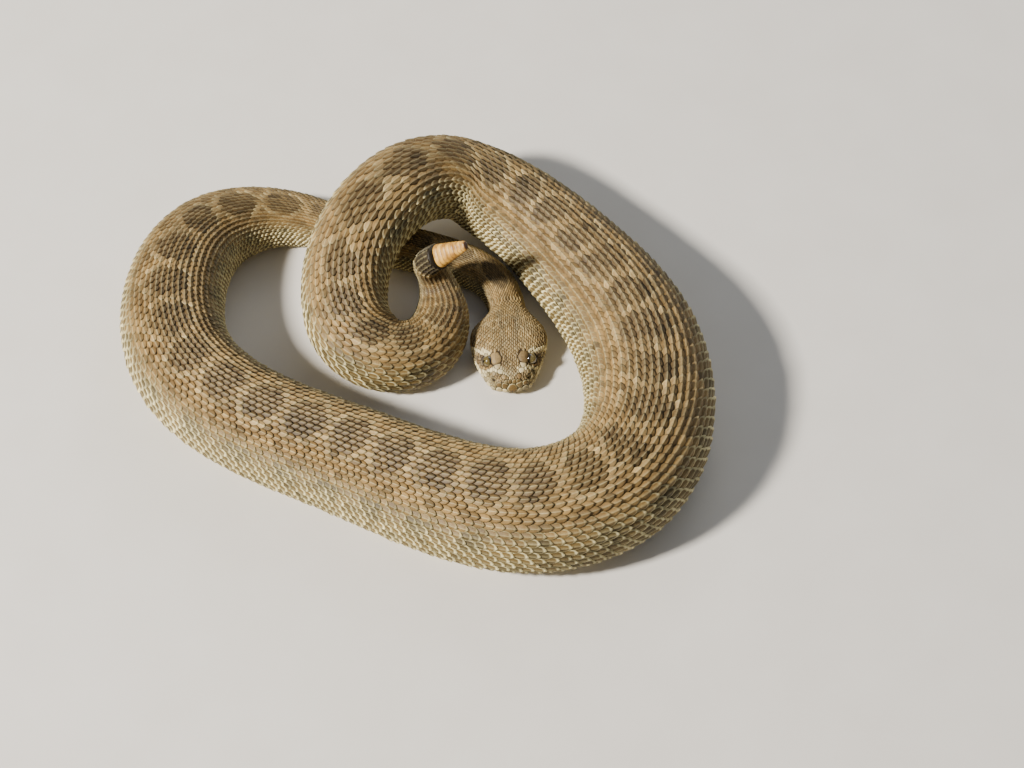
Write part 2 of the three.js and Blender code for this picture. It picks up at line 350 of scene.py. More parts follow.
def find_shift() -> Array:
    """Compares one eye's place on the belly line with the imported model's.

    Returns:
        The shift from the belly line's frame to the model's, in millimetres.
    """
    low, high = (np.array(corner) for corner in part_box("eye_left"))
    centre = (low + high) / 2 / MM
    return centre - head_point(EYE.distance, -EYE.across, EYE.height)


SHIFT = find_shift()


def station_rows(head_step: float, body_step: float) -> Array:
    """Spaces rows of the skin over the snout's face, the head and the body.

    Args:
        head_step: Step along the head.
        body_step: Step along the body.

    Returns:
        The rows' distances, with the tail's end last.
    """
    return np.concatenate([
        np.linspace(-SNOUT_FACE, 0.0, SNOUT_ROWS + 1)[:-1],
        np.arange(0.0, FINE_END, head_step),
        np.arange(FINE_END, LINE.length, body_step),
        [LINE.length],
    ])


@dataclass(frozen=True)
class HeadForm:
    """A rise or hollow of the head, as bell curves that fade in over a third measure.

    A form of the crown has its bells over distance and side and fades in with height, and one
    of the cheek has them over distance and height and fades in with the side.
    """

    rise: float
    distance: tuple[float, float]
    bell: tuple[float, float]
    fade: tuple[float, float]
    on_crown: bool = False

    def at(self, distance: Array, side: Array, height: Array) -> Array:
        """Works out the form's height.

        Args:
            distance: Distances from the snout.
            side: Distances from the head's middle.
            height: Heights above the belly line.

        Returns:
            The heights, below 0 in a hollow.
        """
        belled, fading = (side, height) if self.on_crown else (height, side)
        bells = bump(distance, *self.distance) * bump(belled, *self.bell)
        return self.rise * bells * ease(fading, *self.fade)


# Brow, eye socket, edge of the snout, hollow between the brows, heat pit, nostril and cheek.
HEAD_FORMS: tuple[HeadForm, ...] = (
    HeadForm(1.0, (13.8, 4.6), (7.5, 2.7), (11.8, 13.2), on_crown=True),
    HeadForm(-0.6, (EYE.distance, 3.2), (EYE.height - 0.4, 2.3), (8, 10)),
    HeadForm(0.35, (6.5, 4.0), (7.6, 1.3), (10.5, 12.0), on_crown=True),
    HeadForm(-0.5, (15, 7), (0.0, 4.0), (11.5, 13.5), on_crown=True),
    HeadForm(-1.5, (8.4, 1.1), (8.9, 1.1), (6, 8)),
    HeadForm(-1.4, (4.0, 0.8), (10.1, 0.8), (4, 6)),
    HeadForm(0.5, (29, 7), (10.5, 3.0), (8, 12)),
)


@dataclass
class BodySurface:
    """The whole animal's skin as a grid over distance and turn, inside the coat.

    Turn runs from 0 on the middle of the back to 0.5 under the belly, positive on the right.
    """

    turns: int = 240
    head_step: float = 0.4
    body_step: float = 1.0
    nose_bulge: float = 1.3
    nose_tip: float = 0.02
    least_height: float = 0.35
    stretch_range: tuple[float, float] = (0.2, 3.0)
    groove: tuple[float, float] = (-0.55, 0.33)
    upper_lip: tuple[float, float, float] = (0.28, 1.0, 0.7)
    lower_lip: tuple[float, float, float] = (0.8 * 0.28, -1.0, 0.6)
    mouth_fade: tuple[float, float] = (34.0, 39.0)
    points: Array = field(init=False)
    normals: Array = field(init=False)

    def __post_init__(self) -> None:
        """Samples the sections, lowers them by the coat's depth and raises the head's relief."""
        self.stations = station_rows(self.head_step, self.body_step)
        across, height = self.half_sections(self.turns // 2)
        self.across = np.concatenate([across, -across[:, ::-1][:, 1:]], axis=1)
        self.height = np.concatenate([height, height[:, ::-1][:, 1:]], axis=1)
        face = np.clip(1 + self.stations / SNOUT_FACE, self.nose_tip, 1.0)[:, None]
        middle = self.height[SNOUT_ROWS].mean()
        self.across *= face
        self.height = middle + (self.height - middle) * face
        place, along, side, up = LINE.frame(self.stations)
        grid = place[:, None] + side[:, None] * self.across[..., None]
        grid += up[:, None] * self.height[..., None]
        grid -= along[:, None] * (self.nose_bulge * (1 - face ** 2))[..., None]
        normals = self.outward(grid)
        rise = self.relief(self.stations[:, None], self.across, self.height)
        rise -= self.coat_depth(self.stations)[:, None]
        self.points = grid + normals * rise[..., None]
        self.points[..., 2] = np.maximum(self.points[..., 2], self.least_height)
        self.normals = self.outward(self.points)
        self.girths = np.linalg.norm(np.diff(self.points, axis=1), axis=2).sum(axis=1)
        lengthwise = np.gradient(self.points, self.stations, axis=0)
        self.stretch = np.clip(np.linalg.norm(lengthwise, axis=2), *self.stretch_range)

    @staticmethod
    def coat_depth(distance: Array) -> Array:
        """Depth that scales stand above the skin."""
        return read_table(COAT_DEPTHS, distance)

    @staticmethod
    def section_shapes(distance: Array) -> dict[str, Array]:
        """Measures the cross-sections.

        Args:
            distance: Distances from the snout, none below 0.

        Returns:
            Each section's half width, top, widest line, squareness, drop and floor.
        """
        width = LINE.width(distance)
        tail = ease(distance, TAIL_START + TAIL_EASE[0], TAIL_START + TAIL_EASE[1])
        top = width * mix(BODY_HEIGHT, TAIL_HEIGHT, tail)
        shapes = {
            "half": width / 2,
            "top": top,
            "widest": top * mix(BODY_WIDEST, TAIL_WIDEST, tail),
            "square": mix(BODY_SQUARE, TAIL_SQUARE, tail),
        }
        neck = ease(distance, HEAD_END - NECK_EASE, HEAD_LENGTH)
        inside = distance < HEAD_LENGTH
        head = HEAD.at(np.minimum(distance, HEAD_END))
        for column, name in enumerate(("half", "top", "widest", "square"), start=1):
            shapes[name] = np.where(inside, mix(head[:, column], shapes[name], neck), shapes[name])
        shapes["drop"] = np.where(inside, BELLY_DROP, mix(BELLY_DROP, 1.0, tail))
        shapes["floor"] = CHIN_RISE * (1 - np.minimum(distance / CHIN_REACH, 1)) ** 2
        return {name: values[:, None] for name, values in shapes.items()}

    def half_sections(self, half: int, steps: int = 361) -> tuple[Array, Array]:
        """Draws the right half of each cross-section, evenly spaced from back to belly.

        Args:
            half: Number of steps from back to belly.
            steps: Number of points drawn before they are spaced evenly.

        Returns:
            The across and height values, one row per station.
        """
        distance = np.maximum(self.stations, 0.0)
        shapes = self.section_shapes(distance)
        angle = np.linspace(math.pi / 2, -math.pi / 2, steps)[None]
        side, rise = np.cos(angle), np.sin(angle)
        square, widest, floor = shapes["square"], shapes["widest"], shapes["floor"]
        x = shapes["half"] * np.clip(side, 0, 1) ** square
        above = widest + (shapes["top"] - widest) * np.clip(rise, 0, 1) ** square
        sunk = (widest - floor) * shapes["drop"] * np.clip(-rise, 0, 1) ** (square * BELLY_SQUARE)
        z = np.where(rise > 0, above, np.maximum(floor, widest - sunk))
        lower_lip = ease(mouth_height(distance)[:, None] - z, 0.0, 0.6)
        x = x * (1 - LOWER_LIP_INSET * lower_lip * (distance < JAW_END + 2)[:, None])
        across = np.empty((len(distance), half + 1))
        height = np.empty_like(across)
        wanted = np.linspace(0, 1, half + 1)
        for i in range(len(distance)):
            reach = np.concatenate([[0.0], np.cumsum(np.hypot(np.diff(x[i]), np.diff(z[i])))])
            across[i] = np.interp(wanted, reach / reach[-1], x[i])
            height[i] = np.interp(wanted, reach / reach[-1], z[i])
        return across, height

    @staticmethod
    def outward(grid: Array) -> Array:
        """Works out the normals of a grid whose columns go round the body.

        Args:
            grid: Points by row and column.

        Returns:
            A unit normal for each point.
        """
        lengthwise = np.gradient(grid, axis=0)
        closed = np.concatenate([grid[:, -2:-1], grid, grid[:, 1:2]], axis=1)
        around = (closed[:, 2:] - closed[:, :-2]) / 2
        normal = np.cross(lengthwise, around)
        size = np.linalg.norm(normal, axis=2, keepdims=True)
        return normal / np.maximum(size, 1e-9)

    def relief(self, distance: Array, across: Array, height: Array) -> Array:
        """Works out the head's forms above the plain section.

        Args:
            distance: Distances from the snout.
            across: Sideways places on the plain section.
            height: Heights on the plain section.

        Returns:
            The height of the mouth's groove, the lips and all other forms together.
        """
        side = np.abs(across)
        mouth = mouth_height(distance.ravel())[:, None]
        lips = self.groove[0] * bump(height, mouth, self.groove[1])
        for rise, above, spread in (self.upper_lip, self.lower_lip):
            lips = lips + rise * bump(height, mouth + above, spread)
        lips = lips * (1 - ease(distance, *self.mouth_fade))
        return sum((form.at(distance, side, height) for form in HEAD_FORMS), lips)

    def sample(self, table: Array, distance: Array, turn: Array) -> Array:
        """Reads a grid between its nodes.

        Args:
            table: Values by station and turn.
            distance: Distances from the snout.
            turn: Turns from the middle of the back.

        Returns:
            The values at the places.
        """
        row = np.interp(distance, self.stations, np.arange(len(self.stations)))
        column = np.mod(turn, 1.0) * self.turns
        i = np.clip(row.astype(int), 0, len(self.stations) - 2)
        j = np.clip(column.astype(int), 0, self.turns - 1)
        a, b = row - i, column - j
        if table.ndim == 3:
            a, b = a[..., None], b[..., None]
        low = table[i, j] * (1 - b) + table[i, j + 1] * b
        high = table[i + 1, j] * (1 - b) + table[i + 1, j + 1] * b
        return low * (1 - a) + high * a

    def place(self, distance: Array, turn: Array, height: Array) -> Array:
        """Points at a height above the skin, in the model's metres.

        Args:
            distance: Distances from the snout.
            turn: Turns from the middle of the back.
            height: Heights above the skin, in millimetres.

        Returns:
            The points, with a last axis of three.
        """
        point = self.sample(self.points, distance, turn)
        normal = self.sample(self.normals, distance, turn)
        normal /= np.maximum(np.linalg.norm(normal, axis=-1, keepdims=True), 1e-9)
        return (point + normal * np.asarray(height)[..., None] + SHIFT) * MM

    def section(self, distance: Array, turn: Array) -> tuple[Array, Array]:
        """Across and height values of the plain section."""
        return self.sample(self.across, distance, turn), self.sample(self.height, distance, turn)

    def girth(self, distance: Array) -> Array:
        """Length once round the skin."""
        return np.interp(distance, self.stations, self.girths)


SURFACE = BodySurface()


def turn_at_height(distance: Array, height: Array) -> Array:
    """Finds where a height lies on the right side of the section.

    Args:
        distance: Distances from the snout.
        height: Heights above the belly line.

    Returns:
        The turns at those heights.
    """
    distance, height = np.broadcast_arrays(np.asarray(distance, float), np.asarray(height, float))
    turns = np.linspace(0.0, 0.5, SURFACE.turns // 2 + 1)
    result = np.empty(distance.shape)
    for index in np.ndindex(distance.shape):
        row = int(np.abs(SURFACE.stations - distance[index]).argmin())
        falling = SURFACE.height[row, :SURFACE.turns // 2 + 1]
        result[index] = np.interp(-height[index], -falling, turns)
    return result


def near_path(places: Array, path: tuple[Corner, ...], width: float) -> Array:
    """Masks a stripe with soft edges.

    Args:
        places: Distances, sides and heights, along the last axis.
        path: Corners of the stripe's middle, given in the same way.
        width: The stripe's width.

    Returns:
        The mask, 1 inside the stripe and 0 outside it.
    """
    away = np.full(places.shape[:-1], np.inf)
    for start, end in zip(path[:-1], path[1:]):
        first, step = np.array(start), np.subtract(end, start)
        share = np.clip(((places - first) @ step) / (step @ step), 0.0, 1.0)
        away = np.minimum(away, np.linalg.norm(places - first - share[..., None] * step, axis=-1))
    return 1 - ease(away, width * 0.35, width * 0.65)


# Stripes and patches of the head: corners as distance, side and height, and the width.
HEAD_PATHS: dict[str, tuple[tuple[Corner, ...], float]] = {
    "behind": (((17.6, 10.4, 13.9), (18.6, 12.2, 13.4), (21.0, 16.2, 11.4), (24.6, 18.8, 6.4),
                (25.2, 19.0, 3.5)), 2.4),
    "ahead": (((11.6, 15.1, 5.0), (9.6, 13.0, 8.8), (8.0, 8.5, 12.1), (7.2, 4.5, 13.3)), 2.4),
    "brow": (((17.4, 10.9, 13.6), (15.4, 11.1, 13.0), (13.6, 10.2, 13.4)), 1.0),
    "snout_edge": (((13.6, 9.7, 13.3), (8.0, 4.7, 13.6), (2.6, 1.0, 12.6)), 1.0),
    "middle": (((10.6, 0.3, 14.6), (4.0, 0.5, 13.0)), 0.8),
    "cheek": (((15.6, 12.4, 12.0), (17.2, 15.2, 9.0), (18.4, 17.4, 6.2)), 5.6),
    "rear": (((27.5, 16.0, 12.0), (36.0, 16.0, 10.0)), 4.5),
    "before_eye": (((4.6, 7.6, 9.6), (8.8, 10.6, 8.0)), 3.2),
    "nape": (((20.0, 2.2, 15.6), (30.0, 3.6, 16.2), (42.0, 4.6, 15.0)), 3.6),
    "crown": (((12.0, 1.6, 14.6), (18.0, 4.6, 15.4)), 1.8),
    "shields": (((12.4, 6.2, 14.4), (17.0, 7.4, 15.0)), 5.2),
}


@dataclass(frozen=True)
class Markings:
    """Where the blotches, stripes and bands lie, as masks over distance and turn."""

    blotch_start: float = 66.0
    blotch_pitch: float = 23.5
    blotch_half_length: float = 8.0
    blotch_half_width: float = 0.066
    blotch_power: float = 2.4
    side_turn: float = 0.20
    side_size: tuple[float, float] = (6.2, 0.042)
    low_turn: float = 0.29
    low_size: tuple[float, float] = (5.2, 0.036)
    belly_turn: float = 0.36
    band_start: float = 17.0
    band_pitch: float = 13.0

    def masks(self, distance: Array, turn: Array) -> dict[str, Array]:
        """Works out every mask.

        Args:
            distance: Distances from the snout.
            turn: Turns from the middle of the back.

        Returns:
            The masks by name, each from 0 to 1.
        """
        distance, turn = np.broadcast_arrays(np.asarray(distance, float), np.asarray(turn, float))
        wrapped = np.mod(turn + 0.5, 1.0) - 0.5
        away = np.abs(wrapped)
        rest = LINE.length - distance
        tail = 1 - ease(rest, 50, 80)
        body = ease(distance, 52, 60) * (1 - tail)
        phase = np.mod((distance - self.blotch_start) / self.blotch_pitch + 0.5, 1.0) - 0.5
        along = np.abs(phase) * self.blotch_pitch
        between = np.abs(np.abs(phase) - 0.5) * self.blotch_pitch
        sway = 0.004 * np.sin(distance * 0.55) + 0.003 * np.sin(distance * 0.23 + 1.0)
        reach = self.blotch_half_length * (1 + 0.08 * np.sin(distance * 0.131))
        power = self.blotch_power
        aside = np.abs(wrapped + sway) / self.blotch_half_width
        radius = ((along / reach) ** power + aside ** power) ** (1 / power)
        side = np.hypot(along / self.side_size[0], (away - self.side_turn) / self.side_size[1])
        low = np.hypot(between / self.low_size[0], (away - self.low_turn) / self.low_size[1])
        spots = np.maximum(1 - ease(side, 0.7, 1.15), 0.75 * (1 - ease(low, 0.7, 1.15)))
        light = ease(np.cos((rest - self.band_start) * 2 * math.pi / self.band_pitch), 0.1, 0.8)
        masks = {
            "blotch": (1 - ease(radius, 0.72, 0.95)) * body,
            "edge": bump(radius, 0.95, 0.16) * body,
            "pale": np.maximum(bump(radius, 1.3, 0.13) * body, bump(rest, 15.0, 1.7)),
            "side": spots * body,
            "flank": (ease(away, 0.1, 0.24) * ease(distance, 44, 60)
                      * mix(0.35, 1.0, ease(rest, 60, 130))),
            "belly": (ease(away, self.belly_turn - 0.012, self.belly_turn + 0.006)
                      * ease(distance, 40, 56)),
            "band": tail * (1 - light) * ease(rest, 14, 17) * (1 - ease(away, 0.3, 0.42)),
            "charcoal": 1 - ease(rest, 11.5, 13.5),
        }
        self.add_head(masks, distance, *SURFACE.section(distance, turn))
        return masks

    @staticmethod
    def add_head(masks: dict[str, Array], distance: Array, across: Array, height: Array) -> None:
        """Adds the head's stripes and patches.

        Args:
            masks: The masks that the head's own are joined to.
            distance: Distances from the snout.
            across: Sideways places on the plain section.
            height: Heights on the plain section.
        """
        side = np.abs(across)
        places = np.stack([distance, side, height], axis=-1)
        path = {name: near_path(places, *where) for name, where in HEAD_PATHS.items()}
        head = 1 - ease(distance, 44, 54)
        above_mouth = height - mouth_height(distance)
        lips = (1 - ease(above_mouth, 2.4, 3.2)) * (1 - ease(distance, 34, 38))
        stripe = (path["behind"] + path["ahead"] + 0.6 * path["brow"]
                  + 0.5 * path["snout_edge"] + 0.35 * path["middle"])
        stripe = np.clip(stripe, 0, 1)
        specks = 0.5 + 0.5 * np.sin(distance * 2.1 + 1.3 * side) * np.sin(height * 1.9 + side * 0.9)
        mottle = 0.5 + 0.3 * np.sin(distance * 2.4) * np.sin(height * 1.7 + 0.6)
        low_front = (1 - ease(distance, 9, 13)) * (1 - ease(height, 9.5, 11.5))
        front = np.maximum(1 - ease(distance, 0.8, 3.0), low_front)
        masks["flank"] = np.maximum(masks["flank"], 0.6 * front * (1 - stripe))
        masks["stripe"] = np.clip(0.85 * stripe + mottle * lips, 0, 1) * head
        patch = (path["cheek"] + 0.35 * path["rear"] + 0.6 * path["before_eye"]
                 + 0.75 * np.maximum(path["nape"], path["crown"]) + 0.25 * path["shields"])
        patch = np.clip(patch, 0, 1) * (1 - stripe) * (1 - 0.6 * lips)
        masks["patch"] = patch * mix(0.6, 1.0, specks) * head
        throat = (1 - ease(above_mouth, -0.6, 0.2)) * (distance < 44)
        masks["belly"] = np.maximum(masks["belly"], throat * head)


MARKINGS = Markings()


@dataclass
class PatchMesh:
    """Gathers many small grids of points that become one mesh."""

    name: str
    start: float = 0.0
    end: float = 1.0
    seam: float = 0.5
    points: list[Array] = field(default_factory=list)
    faces: list[Array] = field(default_factory=list)
    cells: list[Array] = field(default_factory=list)
    values: dict[str, list[Array]] = field(default_factory=dict)
    count: int = 0

    def add(self, points: Array, rows: int, columns: int, cells: Array,
            values: dict[str, Array]) -> None:
        """Adds equal grids.

        Args:
            points: Corner places, one row of rows times columns points for each grid.
            rows: Points of a grid from root to tip.
            columns: Points of a grid from side to side.
            cells: Places of the points on the flat unwrap.
            values: Numbers for each point, by attribute name.
        """
        grids = points.shape[0]
        k, j = np.meshgrid(np.arange(rows - 1), np.arange(columns - 1), indexing="ij")
        first = (k * columns + j).ravel()
        quad = np.stack([first, first + 1, first + columns + 1, first + columns], axis=1)
        starts = self.count + np.arange(grids) * rows * columns
        self.faces.append((starts[:, None, None] + quad[None]).reshape(-1, 4))
        self.points.append(points.reshape(-1, 3))
        self.cells.append(cells.reshape(-1, 2))
        for key, value in values.items():
            full = np.broadcast_to(value, points.shape[:2])
            self.values.setdefault(key, []).append(full.reshape(-1))
        self.count += grids * rows * columns

    def build(self) -> bpy.types.Object:
        """Joins the grids, none lower than just above the floor.

        Returns:
            The new object, with its attributes and its bake map.
        """
        points = np.concatenate(self.points)
        points[:, 2] = np.maximum(points[:, 2], FLOOR_GAP * MM)
        values = {key: np.concatenate(value) for key, value in self.values.items()}
        faces, cells = np.concatenate(self.faces), np.concatenate(self.cells)
        return make_mesh(self.name, points, faces, values, cells)


def make_mesh(name: str, points: Array, quads: Array, values: dict[str, Array],
              cells: Array) -> bpy.types.Object:
    """Makes an object from corner places and four-sided faces.

    Args:
        name: The object's name.
        points: Corner places in metres.
        quads: Corner numbers of the faces.
        values: Numbers for each corner, by attribute name.
        cells: Place of each face corner or each point on the bake map.

    Returns:
        The new object, smoothly shaded.
    """
    mesh = bpy.data.meshes.new(name)
    mesh.vertices.add(len(points))
    mesh.vertices.foreach_set("co", points.astype(np.float32).ravel())
    mesh.loops.add(quads.size)
    mesh.loops.foreach_set("vertex_index", quads.astype(np.int32).ravel())
    mesh.polygons.add(len(quads))
    mesh.polygons.foreach_set("loop_start", np.arange(0, quads.size, 4, dtype=np.int32))
    mesh.polygons.foreach_set("use_smooth", np.ones(len(quads), bool))
    mesh.update(calc_edges=True)
    for key, value in values.items():
        attribute = mesh.attributes.new(key, "FLOAT", "POINT")
        attribute.data.foreach_set("value", value.astype(np.float32))
    corners = cells if len(cells) == quads.size else cells[quads.ravel()]
    layer = mesh.uv_layers.new(name="OFBake")
    layer.data.foreach_set("uv", corners.astype(np.float32).ravel())
    mesh.validate()
    piece = bpy.data.objects.new(name, mesh)
    bpy.context.scene.collection.objects.link(piece)
    return piece


Grid = tuple[Array, Array, Array, Array, Array]


@dataclass(frozen=True)
class ScaleForm:
    """One keeled scale as a grid from its root to its raised tip."""

    keel: float = 0.34
    keel_width: float = 0.13
    crown: float = 0.3
    lift: float = 0.72
    root_height: float = 0.06
    reach: float = 0.9

    def grid(self) -> Grid:
        """Draws the scale.

        Returns:
            Shares across, along and in height, and the rim and keel masks.
        """
        side = np.array([[-1.0, -0.93, -0.55, -0.15, 0.0, 0.15, 0.55, 0.93, 1.0]])
        along = np.array([[0.0, 0.22, 0.45, 0.66, 0.84, 0.97, 1.0]]).T
        half = np.array([[0.6, 0.9, 1.0, 0.9, 0.66, 0.34, 0.2]]).T
        rounding = np.array([[0, 0, 0, 0.02, 0.06, 0.1, 0.1]]).T
        u = side * half
        v = along * self.reach + (1 - side ** 2) * rounding
        ridge = ease(along, 0.0, 0.3) * (1 - 0.6 * ease(along, 0.85, 1.0))
        keel = np.exp(-(side / self.keel_width) ** 2) * ridge
        height = self.root_height + self.lift * along ** 1.3
        height = height + self.crown * (1 - np.abs(side) ** 1.3) + self.keel * keel
        height[:, [0, -1]] = -0.3
        height[-1] = np.minimum(height[-1], 0.1)
        rim = np.maximum(np.abs(side) ** 4, ease(along, 0.66, 0.97))
        return u, v, height, rim, keel


@dataclass(frozen=True)
class PlateForm:
    """One smooth shield as a square grid drawn into a rounded outline."""

    power: float = 4.0
    rim_drop: float = 0.25

    def grid(self) -> Grid:
        """Draws the shield.

        Returns:
            Shares across, along and in height, and the rim and keel masks.
        """
        steps = np.array([-1.0, -0.9, -0.62, -0.22, 0.22, 0.62, 0.9, 1.0])
        v, u = np.meshgrid(steps, steps, indexing="ij")
        square = np.maximum(np.abs(u), np.abs(v))
        rounded = (np.abs(u) ** self.power + np.abs(v) ** self.power) ** (1 / self.power)
        shrink = square / np.maximum(rounded, 1e-9)
        height = 1.0 - self.rim_drop * square ** 4
        height[square > 0.95] = -0.4
        return u * shrink, v * shrink, height, square ** 5, 0 * u


@dataclass(frozen=True)
class BellyForm:
    """One belly plate as a wide grid that curves up at its sides."""

    columns: int = 25
    side_curve: float = 0.25

    def grid(self) -> Grid:
        """Draws the plate.

        Returns:
            Shares across, along and in height, and the rim and keel masks.
        """
        side = np.linspace(-1.0, 1.0, self.columns)
        along = np.array([0.0, 0.3, 0.7, 0.95, 1.0])
        u, v = np.meshgrid(side, along)
        v = v - self.side_curve * side[None] ** 6
        height = 0.15 + 0.75 * along[:, None] + 0 * u
        height[:, [0, -1]] = -0.3
        height[-1] = 0.1
        rim = np.maximum(ease(along, 0.75, 0.95)[:, None] * 0.6, np.abs(u) ** 12)
        return u, v, height, rim, 0 * u


@dataclass
class CoatLayer:
    """Lays scales and shields on the skin, each with its own tone and markings."""

    mesh: PatchMesh
    random: np.random.Generator
    middle: float = 0.45
    map_length: float = 0.84
    map_half_width: float = 0.42

    def lay(self, form: ScaleForm | PlateForm | BellyForm, root: Array, turn: Array, length: Array,
            half_width: Array, depth: Array, cell: tuple[Array, Array]) -> None:
        """Lays one scale at each place.

        Args:
            form: The shape of every scale, shield or plate.
            root: Distance of each root, or of each shield's middle, from the snout.
            turn: Turn of each scale's middle.
            length: Length of each scale, or half of each shield's, in millimetres.
            half_width: Half of each one's width, in millimetres.
            depth: Height of each one, in millimetres.
            cell: Length and width of each one's cell on the unwrap, in millimetres and turns.
        """
        if not len(root):
            return
        u, v, height, rim, keel = form.grid()
        rows, columns = u.shape
        u, v, height = u.ravel()[None], v.ravel()[None], height.ravel()[None]
        distance = np.clip(root[:, None] + v * length[:, None], -SNOUT_FACE, LINE.length)
        girth = SURFACE.girth(np.maximum(root, 1.0))[:, None]
        around = turn[:, None] + u * half_width[:, None] / girth
        points = SURFACE.place(distance, around, height * depth[:, None])
        low, high = v.min(), v.max()
        from_root = low > -0.5
        centre = root + (self.middle * length if from_root else 0)
        values = {key: mask[:, None] for key, mask in MARKINGS.masks(centre, turn).items()}
        values["rim"] = rim.ravel()[None]
        values["keel"] = keel.ravel()[None]
        values["tone"] = self.random.normal(0.0, 1.0, len(root))[:, None]
        span = self.mesh.end - self.mesh.start
        place = (v - low) / (high - low) - 0.5
        cell_long, cell_wide = self.map_length * cell[0], self.map_half_width * cell[1]
        cell_u = (centre[:, None] - self.mesh.start + cell_long[:, None] * place) / span
        cell_v = np.mod(turn + self.mesh.seam, 1.0)[:, None]
        cell_v = cell_v + cell_wide[:, None] * np.clip(u, -1, 1)
        cells = np.stack(np.broadcast_arrays(cell_u, cell_v), axis=-1)
        self.mesh.add(points, rows, columns, cells, values)


def dress(piece: bpy.types.Object, material: bpy.types.Material) -> bpy.types.Object:
    """Gives a finished piece its material and its body.

    Args:
        piece: The piece's object.
        material: The material that it is made of.

    Returns:
        The same object.
    """
    piece.data.materials.clear()
    piece.data.materials.append(material)
    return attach(piece, "root")


@dataclass
class Skin:
    """One seamless skin from the snout to the root of the rattle."""

    columns: int = 192
    body_step: float = 3.2
    head_step: float = 0.55
    cap_rise: float = 0.8
    cap_width: float = 0.75
    cap_dome: float = 1.3
    strips: int = 6

    def build(self) -> bpy.types.Object:
        """Wraps the grid round the body and closes both ends.

        Returns:
            The skin.
        """
        distance = station_rows(self.head_step, self.body_step)
        turn = np.arange(self.columns) / self.columns
        grid_distance, grid_turn = np.meshgrid(distance, turn, indexing="ij")
        points = SURFACE.place(grid_distance, grid_turn, 0 * grid_turn)
        nose, end = points[0].mean(axis=0), points[-1].mean(axis=0)
        cap = LINE.frame(LINE.length)[1] * self.cap_rise * MM
        rim = end + (points[-1] - end) * self.cap_width + cap
        front, back = (np.tile(point, (1, self.columns, 1))
                       for point in (nose, end + cap * self.cap_dome))
        points = np.concatenate([front, points, rim[None], back])
        distance = np.concatenate([[-SNOUT_FACE], distance, [LINE.length] * 2])
        rows = len(distance)
        k, j = np.meshgrid(np.arange(rows - 1), np.arange(self.columns), indexing="ij")
        after = (j + 1) % self.columns
        first = k * self.columns
        second = first + self.columns
        quads = np.stack([first + j, first + after, second + after, second + j], axis=-1)
        full_turn = np.tile(turn, rows)
        values = MARKINGS.masks(np.repeat(distance, self.columns), full_turn)
        values.update({key: np.zeros(len(full_turn)) for key in ("rim", "keel", "tone")})
        cells = self.unwrap(rows)
        skin = make_mesh("skin", points.reshape(-1, 3), quads.reshape(-1, 4), values, cells)
        weld(skin)
        return skin

    def unwrap(self, rows: int) -> Array:
        """Places every face corner on a flat sheet, the body cut into strips side by side.

        Args:
            rows: Number of rows.

        Returns:
            One place for each corner of each face, face by face.
        """
        k, j = np.meshgrid(np.arange(rows - 1), np.arange(self.columns), indexing="ij")
        strip = np.minimum(k * self.strips // (rows - 1), self.strips - 1)
        first = -(-strip * (rows - 1) // self.strips)
        length = (rows - 1) / self.strips + 1
        corners = []
        for row, column in ((0, 0), (0, 1), (1, 1), (1, 0)):
            u = (strip + 0.02 + 0.96 * (j + column) / self.columns) / self.strips
            v = 0.01 + 0.97 * (k + row - first) / length
            corners.append(np.stack([u, v], axis=-1))
        return np.stack(corners, axis=2).reshape(-1, 2)


def weld(piece: bpy.types.Object) -> None:
    """Merges doubled points and turns every face outwards.

    Args:
        piece: The object to clean.
    """
    bpy.ops.object.select_all(action="DESELECT")
    bpy.context.view_layer.objects.active = piece
    piece.select_set(True)
    bpy.ops.object.mode_set(mode="EDIT")
    bpy.ops.mesh.select_all(action="SELECT")
    bpy.ops.mesh.remove_doubles(threshold=1e-6)
    bpy.ops.mesh.normals_make_consistent(inside=False)
    bpy.ops.object.mode_set(mode="OBJECT")
    piece.select_set(False)


@dataclass(frozen=True)
class ScaleRows:
    """Lengthwise rows of scales from the crown to the tail, fewer where the body is thin."""

    most: int = 29
    near: float = 0.82
    far: float = 0.18
    side_gap: float = 0.4

    @staticmethod
    def pitch(distance: Array | float) -> Array:
        """Distance from one scale to the next in its row."""
        return read_table(ROW_PITCHES, distance)

    @staticmethod
    def half_turn(distance: Array) -> Array:
        """Turn at which the rows meet the belly plates."""
        return read_table(ROW_HALF_TURNS, distance)

    def roots(self, start: float, end: float) -> Array:
        """Steps along the body, one pitch at a time.

        Args:
            start: Distance of the first root.
            end: Distance that the last root reaches.

        Returns:
            The roots' distances.
        """
        places = [start]
        while places[-1] < end:
            places.append(places[-1] + float(self.pitch(places[-1])))
        return np.array(places)

    def lattice(self, start: float, end: float) -> tuple[Array, Array, Array, Array]:
        """Places all scales of a length, each row half a pitch ahead of the next.

        Args:
            start: Distance of the first roots.
            end: Distance of the last roots.

        Returns:
            The roots' distances, their turns, the rows' spacings and the pitches.
        """
        roots = self.roots(start, end)
        index = np.arange(-self.most, self.most + 1)[None]
        root = np.where(index % 2, ((roots[:-1] + roots[1:]) / 2)[:, None], roots[:-1, None])
        count = read_table(ROW_COUNTS, root)
        share = index * 2 / count
        half_turn = self.half_turn(root)
        turn = half_turn * np.sign(share) * (self.near * np.abs(share) + self.far * share ** 2)
        spacing = half_turn * (self.near + 2 * self.far * np.abs(share)) * 2 / count
        kept = np.abs(share) < 1 - self.side_gap / count
        return root[kept], turn[kept], spacing[kept], self.pitch(root[kept])


ROWS = ScaleRows()


